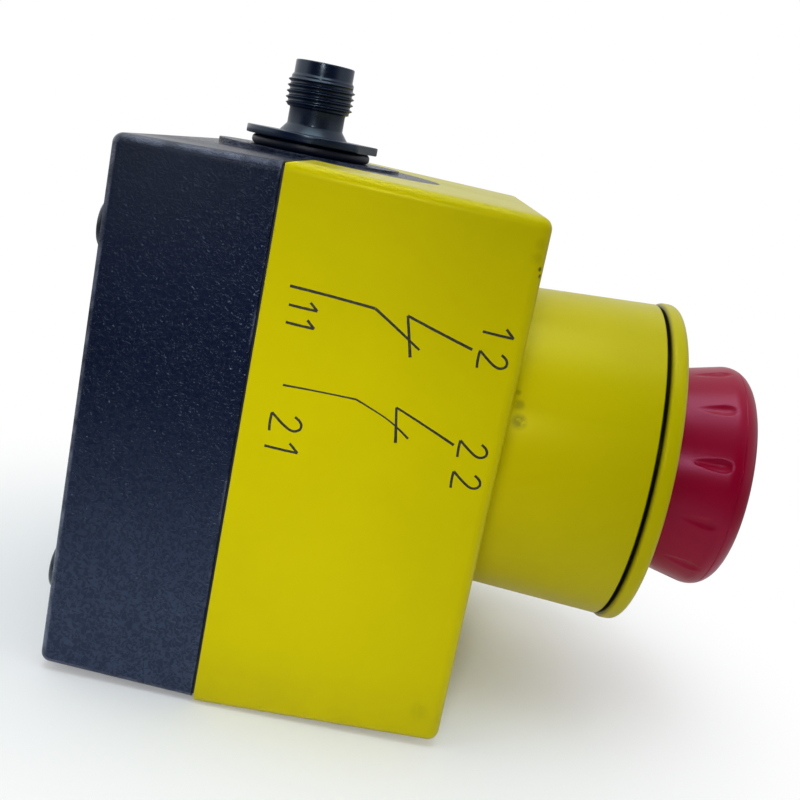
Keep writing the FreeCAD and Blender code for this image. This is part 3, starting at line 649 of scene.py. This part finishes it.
def plain_finish(name, colour, roughness, grain, depth, metallic=0.0, specular=0.5, tint=(1, 1, 1)):
    """Finish of the smaller parts: fine grain, faint clouds and rubbed edges."""
    material, tree, shader = new_material(name)
    grain_bump(tree, shader, grain, depth, strength=0.6, round_edge=0.00012)
    soil = grouped(tree, "handling_soil", {"Clouds": 90.0, "Film Top": -0.06})
    wear = grouped(tree, "rubbed_edges", {"Reach": 0.0004, "Patches": 300.0})
    body = mix(tree, soil["Cloud"], opaque(colour), shade(colour, 0.8))
    lighter = [min(1.0, channel * 1.4 + 0.01) for channel in colour]
    rubbed = lay(tree, opaque(lighter), body, wear["Edge"], 0.4)
    tree.links.new(rubbed, shader.inputs["Base Color"])
    tree.links.new(ramp(tree, soil["Cloud"], 0.0, 1.0, roughness - 0.05, roughness + 0.06),
                   shader.inputs["Roughness"])
    shader.inputs["Metallic"].default_value = metallic
    set_gloss(shader, specular, tint)
    return material


def ink_finish(settings):
    """Pen ink that lies thin on the grain, so the yellow shows through in flecks."""
    material, tree, shader = new_material("pen_ink")
    flecks = noise(tree, place_of(tree), 2600.0, 2.0)["Fac"]
    thin = ramp(tree, flecks, 0.45, 0.75)
    ink = lay(tree, THIN_INK, opaque(settings.colour), thin, 0.55)
    tree.links.new(ink, shader.inputs["Base Color"])
    tree.links.new(ramp(tree, flecks, 0.3, 0.7, 0.4, 0.55), shader.inputs["Roughness"])
    return material


# Dirt marks: place in millimetres, reach in millimetres, strength
COVER_MARKS = [
    ((-41.1, 65.5, 34.3), 0.5, 0.9),
    ((-40.9, 65.7, 33.3), 0.45, 0.9),
    ((-41.5, 64.7, 35.8), 1.3, 0.16),
    ((-41.5, 64.9, 37.7), 1.4, 0.12),
    ((-41.6, 62.3, -36.5), 2.0, 0.1),
]
COLLAR_MARKS = [
    ((-26.1, 69.1, 8.6), 1.7, 0.62),
    ((-25.1, 68.7, 11.1), 1.2, 0.4),
    ((-24.2, 68.2, 12.9), 0.7, 0.4),
]

PLAIN_FINISHES = {
    "black_plastic": dict(colour=(0.012, 0.013, 0.016), roughness=0.45, grain=0.0003, depth=0.00001),
    "grey_plastic": dict(colour=(0.22, 0.23, 0.24), roughness=0.5, grain=0.0003, depth=0.00001),
    "seal_rubber": dict(colour=(0.006, 0.010, 0.028), roughness=0.45, grain=0.0002, depth=0.000006),
    "steel": dict(colour=(0.62, 0.62, 0.60), roughness=0.34, grain=0.0002, depth=0.000003, metallic=1.0),
    "contact_brass": dict(colour=(0.72, 0.53, 0.24), roughness=0.3, grain=0.0002, depth=0.000002,
                          metallic=1.0),
    "lead_black": dict(colour=(0.012, 0.012, 0.013), roughness=0.5, grain=0.0003, depth=0.000006),
    "lead_blue": dict(colour=(0.02, 0.09, 0.42), roughness=0.5, grain=0.0003, depth=0.000006),
    "lead_white": dict(colour=(0.75, 0.75, 0.72), roughness=0.5, grain=0.0003, depth=0.000006),
    "lead_brown": dict(colour=(0.11, 0.045, 0.02), roughness=0.5, grain=0.0003, depth=0.000006),
}

PLAIN_NODES = {
    "black_plastic": ["actuator_body", "contact_holder", "ring_nut", "connector_insert", "connector_nut"],
    "grey_plastic": ["contact_block_left", "contact_block_right", "contact_plunger_left",
                     "contact_plunger_right", "plunger", "cam_sleeve"],
    "seal_rubber": ["cover_gasket", "bezel_seal", "neck_seal"],
    "steel": ["latch_ring", "plunger_clip", "return_spring", "contact_spring_left", "contact_spring_right",
              "terminal_screws"],
    "contact_brass": ["contact_bridge_left", "contact_bridge_right", "fixed_contacts_left",
                      "fixed_contacts_right", "connector_pins"],
    "lead_black": ["wire_black"],
    "lead_blue": ["wire_blue"],
    "lead_white": ["wire_white"],
    "lead_brown": ["wire_brown"],
}


def plain_material(slot):
    return bpy.data.materials.get(slot + "_fine") or plain_finish(slot + "_fine", **PLAIN_FINISHES[slot])


def dress_node(node, material):
    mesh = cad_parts[node].data
    mesh.materials.clear()
    mesh.materials.append(material)


# Pieces

class STOP_OT_enclosure(Operator):
    """Grained base and yellow cover"""
    bl_idname = "stop.enclosure"
    bl_label = "Enclosure"

    def execute(self, context):
        settings = context.scene.stop_switch.enclosure
        base = joined_copy("base_box", "enclosure_base")
        finish(base, "housing", base_finish(settings), "base_plastic", "base_box")
        cover = joined_copy("cover", "enclosure_cover")
        yellow = cover_finish("cover_plastic_grained", settings, depth=0.000016, round_edge=0.0005,
                              film_top=-0.029, marks=COVER_MARKS)
        finish(cover, "housing", yellow, "cover_plastic", "cover")
        return {"FINISHED"}


class STOP_OT_inner_parts(Operator):
    """Finishes of the actuator, the contacts, the seals and the leads"""
    bl_idname = "stop.inner_parts"
    bl_label = "Inner parts"

    def execute(self, context):
        for slot, nodes in PLAIN_NODES.items():
            for node in nodes:
                dress_node(node, plain_material(slot))
        return {"FINISHED"}


class STOP_OT_collar(Operator):
    """Flared collar and its rim, with the dark groove between them"""
    bl_idname = "stop.collar"
    bl_label = "Collar"

    def execute(self, context):
        settings = context.scene.stop_switch.enclosure
        yellow = cover_finish("collar_plastic_grained", settings, depth=0.000012, round_edge=0.00018,
                              film_top=-0.06, marks=COLLAR_MARKS, shaded_groove=True)
        collar = draw_profile("protective_collar_turned", on_button, [
            (11.15, 66.1), (27.3, 66.1), (28.75, 91.6, 0.1), (26.9, 91.6, 0.1), (26.9, 93.8),
            (25.9, 93.8, 0.3), (25.2, 69.1, 0.6), (11.15, 69.1)])
        turn((0, 0, 0), BUTTON_AXIS, COLLAR_STEPS)
        smooth(collar)
        finish(collar, "housing", yellow, "cover_plastic", "protective_collar")
        rim = draw_profile("collar_rim_turned", on_button, [
            (26.95, 92.2, 0.1), (29.25, 92.2, 0.9), (29.25, 95.3, 1.3), (25.6, 95.3, 1.3), (25.6, 93.8),
            (26.95, 93.8)], segments=12)
        turn((0, 0, 0), BUTTON_AXIS, COLLAR_STEPS)
        smooth(rim)
        finish(rim, "housing", yellow, "cover_plastic", "collar_rim")
        return {"FINISHED"}


# Head, in millimetres: its shoulder, its back edge, its front and its mould line
SHOULDER_RADIUS = 21.1
SHOULDER_DEPTH = 110.5
BACK_RADIUS = 17.2
BACK_DEPTH = 94.2
FRONT_DEPTH = 112.3
MOULD_LINE_DEPTH = 108.2


def dome_depth(radius):
    """Depth of the head's dome at a radius, in millimetres."""
    rise = FRONT_DEPTH - SHOULDER_DEPTH
    curve = (SHOULDER_RADIUS ** 2 + rise ** 2) / (2 * rise)
    return FRONT_DEPTH - curve + math.sqrt(curve ** 2 - radius ** 2)


def head_side():
    """Points close together on the part of the head's side that gets the dents."""
    widening = 3.9
    length = 16.3
    shares = [i / 62 for i in range(45, 19, -1)]
    return [(BACK_RADIUS + widening * share, BACK_DEPTH + length * share) for share in shares]


def press_dents(piece, settings):
    """Sinks the grip dents into the side of the head: scoops that start as a point and end blunt in front."""
    middle = 103.1 * MM
    innermost = 18.3 * MM
    phase = math.radians(11)
    blunt = 0.7
    pitch = FULL_TURN / settings.dents
    for vertex in piece.data.vertices:
        radius = math.hypot(vertex.co.x, vertex.co.z)
        along = (-vertex.co.y - middle) / settings.dent_length + 0.5
        if radius < innermost or not 0 < along < 1:
            continue
        if along < blunt:
            growth = along / blunt
        else:
            growth = math.sqrt(1 - ((along - blunt) / (1 - blunt)) ** 2)
        angle = math.atan2(vertex.co.z, vertex.co.x) - phase
        off = ((angle / pitch + 0.5) % 1 - 0.5) * pitch * radius
        across = abs(off) / (settings.dent_width / 2 * math.sqrt(growth))
        if across >= 1:
            continue
        sink = settings.dent_depth * growth * (1 - across ** 2)
        vertex.co.x *= 1 - sink / radius
        vertex.co.z *= 1 - sink / radius


def score_mould_line(piece, depth):
    """Fine line left by the mould round the shoulder of the head."""
    half_width = 0.2
    sunk = 0.13 * MM
    edit(piece)
    for step in (-half_width, 0, half_width):
        select_whole()
        bpy.ops.mesh.bisect(plane_co=on_button(0, depth + step), plane_no=BUTTON_AXIS)
    leave_edit()
    for vertex in piece.data.vertices:
        if abs(-vertex.co.y - depth * MM) < 1e-7:
            shrink = 1 - sunk / math.hypot(vertex.co.x, vertex.co.z)
            vertex.co.x *= shrink
            vertex.co.z *= shrink


class STOP_OT_head(Operator):
    """Hollow mushroom head with its dome, mould line and grip dents"""
    bl_idname = "stop.head"
    bl_label = "Mushroom head"

    def execute(self, context):
        settings = context.scene.stop_switch.head
        dome = [(radius, dome_depth(radius)) for radius in (0, 4, 8, 12, 15)]
        shoulder = [(SHOULDER_RADIUS, SHOULDER_DEPTH, 4.1)]
        inside = [
            (BACK_RADIUS, BACK_DEPTH, 0.3), (15.2, 94.2, 0.2), (18.1, 106.5, 0.6), (14.5, 106.5, 0.6),
            (14.5, 86.2, 0.2), (13.1, 86.2, 0.2), (13.1, 106.5), (10.5, 106.5), (10.5, 96.7), (8.05, 96.7),
            (8.05, 106.5), (0, 106.5)]
        head = draw_profile("mushroom_head", on_button, dome + shoulder + head_side() + inside,
                            closed=False, segments=14)
        turn((0, 0, 0), BUTTON_AXIS, HEAD_STEPS)
        press_dents(head, settings)
        score_mould_line(head, MOULD_LINE_DEPTH)
        smooth(head, 40)
        finish(head, "button", head_finish(settings), "head_plastic", "mushroom_cap")
        return {"FINISHED"}


# Thread of the plug, in millimetres: its ends, its height and half the flat on its crest
THREAD_LOW = 50.35
THREAD_HIGH = 55.2
THREAD_HEIGHT = 0.62
CREST_FLAT = 0.06
# Half the foot of the ridge in pitches, the turns in which it fades out, and its steps from end to end
RIDGE_FOOT = 0.44
FADE_TURNS = 0.4
RIDGE_STEPS = 300
# Flats of the flange: distance from the plug's axis in millimetres and direction in degrees
FLAT_REACH = 10.5
FLAT_ANGLE = 73.5
# Key in the socket, in millimetres: its size, distance from the plug's axis and height
KEY_SIZE = (0.9, 0.9, 7.6)
KEY_REACH = 4.0
KEY_HEIGHT = 53.3


def thread_ridge(settings):
    """Ridge of the thread: a pointed section screwed up round the plug, fading out at both ends."""
    crest = settings.thread_radius / MM
    root = crest - THREAD_HEIGHT
    pitch = settings.pitch / MM
    turns = (THREAD_HIGH - THREAD_LOW) / pitch
    half = RIDGE_FOOT * pitch
    ridge = draw_profile("plug_thread", on_plug, [
        (root, THREAD_LOW - half), (crest, THREAD_LOW - CREST_FLAT), (crest, THREAD_LOW + CREST_FLAT),
        (root, THREAD_LOW + half)])
    leave_edit()
    centre = on_plug(0, 0)
    bpy.context.scene.cursor.location = centre
    pick(ridge)
    bpy.ops.object.origin_set(type="ORIGIN_CURSOR")
    screw = ridge.modifiers.new("Screw", "SCREW")
    screw.axis = "Z"
    screw.angle = FULL_TURN * turns
    screw.screw_offset = settings.pitch * turns
    screw.steps = RIDGE_STEPS
    screw.render_steps = RIDGE_STEPS
    apply_modifier(ridge, "Screw")
    apply_place()
    bpy.context.scene.cursor.location = (0, 0, 0)
    for vertex in ridge.data.vertices:
        out = Vector((vertex.co.x - centre.x, vertex.co.y - centre.y))
        if out.length < (root + 0.1) * MM:
            continue
        share = (vertex.co.z / MM - THREAD_LOW) / (THREAD_HIGH - THREAD_LOW)
        fade = min(1.0, share * turns / FADE_TURNS, (1 - share) * turns / FADE_TURNS)
        wanted = (root + (crest - root) * max(0.0, fade)) * MM
        vertex.co.x = centre.x + out.x * wanted / out.length
        vertex.co.y = centre.y + out.y * wanted / out.length
    edit(ridge)
    choose(ridge, "EDGE", lambda edge: edge.is_boundary)
    bpy.ops.mesh.edge_face_add()
    close_shape()
    return ridge


def cut_flats(shell):
    """Cuts the two flats of the plug's flange."""
    angle = math.radians(FLAT_ANGLE)
    for side in (1, -1):
        edit(shell)
        select_whole()
        across = Vector((-math.cos(angle), -math.sin(angle), 0)) * side
        bpy.ops.mesh.bisect(plane_co=on_plug(0, 45) + across * FLAT_REACH * MM, plane_no=across,
                            use_fill=True, clear_outer=True)
        close_shape()


class STOP_OT_plug(Operator):
    """Plug with its thread, the flats of its flange and the key in its socket"""
    bl_idname = "stop.plug"
    bl_label = "Plug"

    def execute(self, context):
        settings = context.scene.stop_switch.plug
        shell = draw_profile("plug_shell", on_plug, [
            (4.25, 58.1, 0.2), (5.15, 58.1, 0.25), (5.15, 55.8, 0.3), (5.45, 55.4), (5.45, 50.3),
            (4.9, 50.1, 0.2), (4.9, 47.3, 0.4), (6.05, 45.85, 0.2), (11.6, 45.85, 0.2), (11.6, 44.45, 0.2),
            (8.0, 44.45), (8.0, 33.0), (5.5, 33.0), (5.5, 45.5), (4.25, 46.2)], segments=4)
        turn(on_plug(0, 0), UPRIGHT, PLUG_STEPS)
        cut_flats(shell)
        ridge = thread_ridge(settings)
        key_place = at(0, PLUG_DEPTH + KEY_REACH, KEY_HEIGHT)
        bpy.ops.mesh.primitive_cube_add(size=MM, location=key_place, scale=KEY_SIZE)
        key = bpy.context.object
        apply_place()
        whole = join([shell, ridge, key], "plug_shell")
        smooth(whole, 35)
        black = plain_finish("plug_plastic_satin", tuple(settings.colour), roughness=0.26, grain=0.00022,
                             depth=0.000004, specular=0.75, tint=(0.7, 0.86, 1.0))
        finish(whole, "housing", black, "black_plastic", "connector_shell")
        return {"FINISHED"}


class STOP_OT_seal_ring(Operator):
    """Round seal squeezed under the plug's flange"""
    bl_idname = "stop.seal_ring"
    bl_label = "Seal ring"

    def execute(self, context):
        ring = draw_profile("plug_seal_ring", on_plug, [
            (8.3, 42.7, 0.5), (10.45, 42.7, 0.8), (10.45, 44.45, 0.8), (8.3, 44.45, 0.5)], segments=8)
        turn(on_plug(0, 0), UPRIGHT, PLUG_STEPS)
        smooth(ring)
        finish(ring, "housing", plain_material("seal_rubber"), "seal_rubber", "connector_oring")
        return {"FINISHED"}


class STOP_OT_grommets(Operator):
    """Domed grommets in the four screw places of the back"""
    bl_idname = "stop.grommets"
    bl_label = "Wall grommets"

    def execute(self, context):
        first = draw_profile("wall_grommets_domed", on_button, [
            (2.25, 0.8, 0.3), (3.9, 0.8, 1.1), (3.9, 2.2), (3.15, 2.2), (3.15, 5.2), (3.9, 5.2),
            (3.9, 6.0, 0.4), (2.25, 6.0, 0.3)], segments=8)
        turn((0, 0, 0), BUTTON_AXIS, SMALL_STEPS)
        grommets = repeat(first, GROMMET_PLACES, "wall_grommets_domed")
        smooth(grommets)
        rubber = plain_finish("grommet_rubber_polished", (0.012, 0.014, 0.026), roughness=0.24, grain=0.0002,
                              depth=0.000004, specular=0.7, tint=(0.8, 0.9, 1.0))
        finish(grommets, "housing", rubber, "seal_rubber", "wall_grommets")
        return {"FINISHED"}


# Slot of a cover screw, in millimetres: depth of its middle and size of its cutter
SLOT_DEPTH = 62.8
SLOT_SIZE = (8, 1.8, 0.9)


class STOP_OT_cover_screws(Operator):
    """Slotted pan-head screws in the counterbores of the cover"""
    bl_idname = "stop.cover_screws"
    bl_label = "Cover screws"

    def execute(self, context):
        first = draw_profile("cover_screws_slotted", on_button, [
            (0, 62.7), (2.6, 62.65), (3.5, 62.2, 0.3), (3.5, 60.1, 0.15), (2.0, 60.1), (2.0, 14.5),
            (1.2, 14.3), (0, 14.3)], closed=False)
        turn((0, 0, 0), BUTTON_AXIS, SMALL_STEPS)
        bpy.ops.mesh.primitive_cube_add(size=MM, location=on_button(0, SLOT_DEPTH), scale=SLOT_SIZE)
        cutter = bpy.context.object
        slot = first.modifiers.new("Slot", "BOOLEAN")
        slot.operation = "DIFFERENCE"
        slot.object = cutter
        apply_modifier(first, "Slot")
        bpy.data.objects.remove(cutter)
        screws = repeat(first, SCREW_PLACES, "cover_screws_slotted")
        smooth(screws)
        finish(screws, "housing", plain_material("steel"), "steel", "cover_screws")
        return {"FINISHED"}


# Pen marks: points as (depth, height, share of the line width)
CONTACT_SIGNS = [
    [(31.0, 25.0, 1.0), (37.4, 24.7, 0.9), (43.6, 24.2, 1.0)],
    [(43.6, 24.2, 1.0), (47.4, 21.9, 0.9), (51.0, 19.5, 0.8)],
    [(48.4, 24.1, 0.9), (49.2, 21.0, 0.95), (49.9, 18.2, 1.1)],
    [(48.4, 24.1, 0.95), (53.5, 22.5, 0.95), (58.5, 21.1, 1.0)],
    [(32.5, 10.5, 0.8), (37.9, 10.6, 0.45), (43.4, 10.5, 0.7)],
    [(43.4, 10.5, 0.7), (46.9, 9.2, 0.5), (49.7, 7.9, 0.6), (52.0, 6.2, 0.85)],
    [(49.4, 10.5, 0.8), (49.9, 7.8, 0.95), (50.3, 5.2, 1.05)],
    [(49.4, 10.5, 0.8), (54.2, 8.6, 0.75), (58.8, 6.6, 1.0)],
]
DIGITS = {
    "1": [[(0.05, 0.72), (0.30, 1.0)], [(0.30, 1.0), (0.29, 0.5), (0.26, 0.0)]],
    "2": [[(0.03, 0.74), (0.14, 0.95), (0.38, 0.98), (0.50, 0.74), (0.33, 0.42), (0.02, 0.05)],
          [(0.02, 0.05), (0.28, 0.02), (0.58, 0.06)]],
}
# Depth and height of the number's corner, its size and the step to the next digit
NUMBER_PLACES = [("11", 31.3, 23.4, 4.2, 0.62), ("12", 59.4, 25.2, 4.6, 0.85), ("21", 31.4, 6.25, 5.0, 0.8),
                 ("22", 59.4, 7.6, 4.6, 1.05)]


def number_lines():
    """Contact numbers as pen lines, read downwards with their tops to the front."""
    lines = []
    for number, depth, top, size, step in NUMBER_PLACES:
        for i, digit in enumerate(number):
            for line in DIGITS[digit]:
                lines.append([(depth + v * size, top - (u + step * i) * size, 0.9) for u, v in line])
    return lines


def cover_side(depth, height):
    """Point on the near side of the cover, which leans in from the joint towards the front."""
    widest = 42.5
    joint = 27.3
    lean = math.tan(math.radians(1.4))
    return at(-(widest - lean * (depth - joint)), depth, height)


def pen_line(line, settings):
    """One flat line of ink on the side of the cover."""
    deselect()
    bpy.ops.curve.primitive_nurbs_path_add()
    stroke = bpy.context.object
    curve = stroke.data
    curve.splines.clear()
    spline = curve.splines.new("NURBS")
    spline.points.add(len(line) - 1)
    for point, (depth, height, share) in zip(spline.points, line):
        point.co = (*cover_side(depth, height), 1.0)
        point.radius = share
    spline.order_u = min(3, len(line))
    spline.use_endpoint_u = True
    spline.resolution_u = 8
    stroke.location = (0, 0, 0)
    curve.bevel_depth = settings.width / 2
    curve.bevel_resolution = 3
    curve.use_fill_caps = True
    bpy.ops.object.convert(target="MESH")
    apply_place()
    flat = 0.03
    for vertex in stroke.data.vertices:
        surface = cover_side(-vertex.co.y / MM, vertex.co.z / MM).x
        vertex.co.x = surface + (vertex.co.x - surface) * flat
    return stroke


class STOP_OT_pen_marks(Operator):
    """Contact signs and numbers drawn by hand on the side of the cover"""
    bl_idname = "stop.pen_marks"
    bl_label = "Pen marks"

    def execute(self, context):
        settings = context.scene.stop_switch.pen
        strokes = [pen_line(line, settings) for line in CONTACT_SIGNS + number_lines()]
        marks = join(strokes, "pen_marks")
        smooth(marks, 60)
        finish(marks, "housing", ink_finish(settings), "lead_black")
        return {"FINISHED"}


# Stage

CAMERA_EYE = Vector((-0.202622, -0.049763, 0.047661))
CAMERA_RIGHT = Vector((0.044082, -0.979749, 0.195316))
CAMERA_UP = Vector((0.2139, 0.200229, 0.956115))
CAMERA_BACK = Vector((-0.975861, -0.000369, 0.218394))
FLOOR_HEIGHT = CAD_BOX[0][2]
FLOOR_SIZE = 12
FLOOR_MIDDLE = (0, -0.035, FLOOR_HEIGHT)
ROOM_DARK = (0.03, 0.033, 0.04, 1)
ROOM_GREY = (0.54, 0.55, 0.57, 1)
ROOM_PALE = (0.84, 0.85, 0.86, 1)


def soft_light(name, place, target, size, power, spread, colour):
    """Square softbox that looks at a point, with its beam held in by a grid."""
    bpy.ops.object.light_add(type="AREA", location=place)
    lamp = bpy.context.object
    lamp.name = name
    lamp.data.shape = "SQUARE"
    lamp.data.size = size
    lamp.data.energy = power
    lamp.data.color = colour
    lamp.data.spread = math.radians(spread)
    lamp.rotation_euler = (Vector(target) - Vector(place)).to_track_quat("-Z", "Y").to_euler()


class STOP_OT_stage(Operator):
    """Pale floor, soft studio light and the camera"""
    bl_idname = "stop.stage"
    bl_label = "Stage"

    def execute(self, context):
        settings = context.scene.stop_switch.stage
        self.lay_floor(settings)
        self.light_room()
        soft_light("top_softbox", place=(-0.05, 0.0, 0.80), target=(-0.04, -0.03, 0), size=0.5,
                   power=settings.top_light, spread=60, colour=(0.79, 0.97, 1.0))
        soft_light("side_softbox", place=(-0.38, -0.01, 0.16), target=(-0.042, -0.032, 0.0), size=0.06,
                   power=settings.side_light, spread=24, colour=(0.96, 0.98, 1.0))
        self.set_camera(context, settings)
        context.scene.view_settings.view_transform = "Standard"
        return {"FINISHED"}

    def lay_floor(self, settings):
        """Paper that turns white away from the object, as far as the camera sees it. Further out its colour
        is darkened as painted shade, which reflections and bounced light meet.
        """
        deselect()
        bpy.ops.mesh.primitive_plane_add(size=FLOOR_SIZE, location=(0, 0, FLOOR_HEIGHT))
        floor = bpy.context.object
        floor.name = "studio_floor"
        apply_place()
        material, tree, shader = new_material("studio_paper")
        place = place_of(tree)
        colour = settings.floor_colour
        fibre = noise(tree, place, 900.0, 3.0)["Fac"]
        paper = mix(tree, fibre, opaque(colour), shade(colour, 0.985))
        reach = distance(tree, place, FLOOR_MIDDLE)
        # Painted shade: the paper's colour darkens away from the object
        paper_with_painted_shade = mix(tree, ramp(tree, reach, 0.10, 0.20), paper, shade(colour, 0.3))
        tree.links.new(paper_with_painted_shade, shader.inputs["Base Color"])
        shader.inputs["Roughness"].default_value = 0.9
        shader.inputs["Specular IOR Level"].default_value = 0.1
        seen = put(tree, "ShaderNodeLightPath").outputs["Is Camera Ray"]
        far = times(tree, ramp(tree, reach, 0.02, 0.11), seen)
        white = put(tree, "ShaderNodeEmission", {"Color": WHITE, "Strength": 1.0}).outputs[0]
        sweep = put(tree, "ShaderNodeMixShader", {0: far, 1: shader.outputs[0], 2: white})
        tree.links.new(sweep.outputs[0], tree.nodes["Material Output"].inputs["Surface"])
        floor.data.materials.append(material)

    def light_room(self):
        """Pale room that is dark on the near side, behind the camera, and white where the camera sees it."""
        world = bpy.data.worlds.new("studio_room")
        bpy.context.scene.world = world
        world.use_nodes = True
        tree = world.node_tree
        sides = axes_of(tree, put(tree, "ShaderNodeTexCoord").outputs["Generated"])
        left = ramp(tree, sides["Y"], -0.6, 0.6)
        walls = mix(tree, left, ROOM_GREY, ROOM_PALE)
        front = ramp(tree, sides["X"], -0.25, -0.75)
        room = mix(tree, front, walls, ROOM_DARK)
        seen = put(tree, "ShaderNodeLightPath").outputs["Is Camera Ray"]
        sky = tree.nodes["Background"]
        tree.links.new(mix(tree, seen, room, WHITE), sky.inputs["Color"])

    def set_camera(self, context, settings):
        bpy.ops.object.camera_add(location=CAMERA_EYE)
        camera = bpy.context.object
        camera.name = "photo_camera"
        turned = Matrix((CAMERA_RIGHT, CAMERA_UP, CAMERA_BACK)).transposed()
        camera.rotation_euler = turned.to_euler()
        camera.data.sensor_width = 36
        camera.data.sensor_fit = "HORIZONTAL"
        camera.data.lens = settings.lens
        camera.data.clip_start = 0.01
        camera.data.dof.use_dof = False
        context.scene.camera = camera


PIECES = (STOP_OT_enclosure, STOP_OT_inner_parts, STOP_OT_collar, STOP_OT_head, STOP_OT_plug,
          STOP_OT_seal_ring, STOP_OT_grommets, STOP_OT_cover_screws, STOP_OT_pen_marks, STOP_OT_stage)


class STOP_PT_panel(Panel):
    """Lists the pieces of the stop switch"""
    bl_idname = "STOP_PT_panel"
    bl_label = "Stop switch"
    bl_space_type = "VIEW_3D"
    bl_region_type = "UI"
    bl_category = "Stop switch"

    def draw(self, context):
        for piece in PIECES:
            self.layout.operator(piece.bl_idname)


GROUPS = (EnclosureSettings, HeadSettings, PlugSettings, PenSettings, StageSettings, StopSwitchSettings)
CLASSES = GROUPS + PIECES + (STOP_PT_panel,)


def register():
    for kind in CLASSES:
        bpy.utils.register_class(kind)
    bpy.types.Scene.stop_switch = PointerProperty(type=StopSwitchSettings)


def unregister():
    del bpy.types.Scene.stop_switch
    for kind in reversed(CLASSES):
        bpy.utils.unregister_class(kind)


def main():
    register()
    bpy.ops.stop.enclosure()
    bpy.ops.stop.inner_parts()
    bpy.ops.stop.collar()
    bpy.ops.stop.head()
    bpy.ops.stop.plug()
    bpy.ops.stop.seal_ring()
    bpy.ops.stop.grommets()
    bpy.ops.stop.cover_screws()
    bpy.ops.stop.pen_marks()
    bpy.ops.stop.stage()


if __name__ == "__main__":
    main()
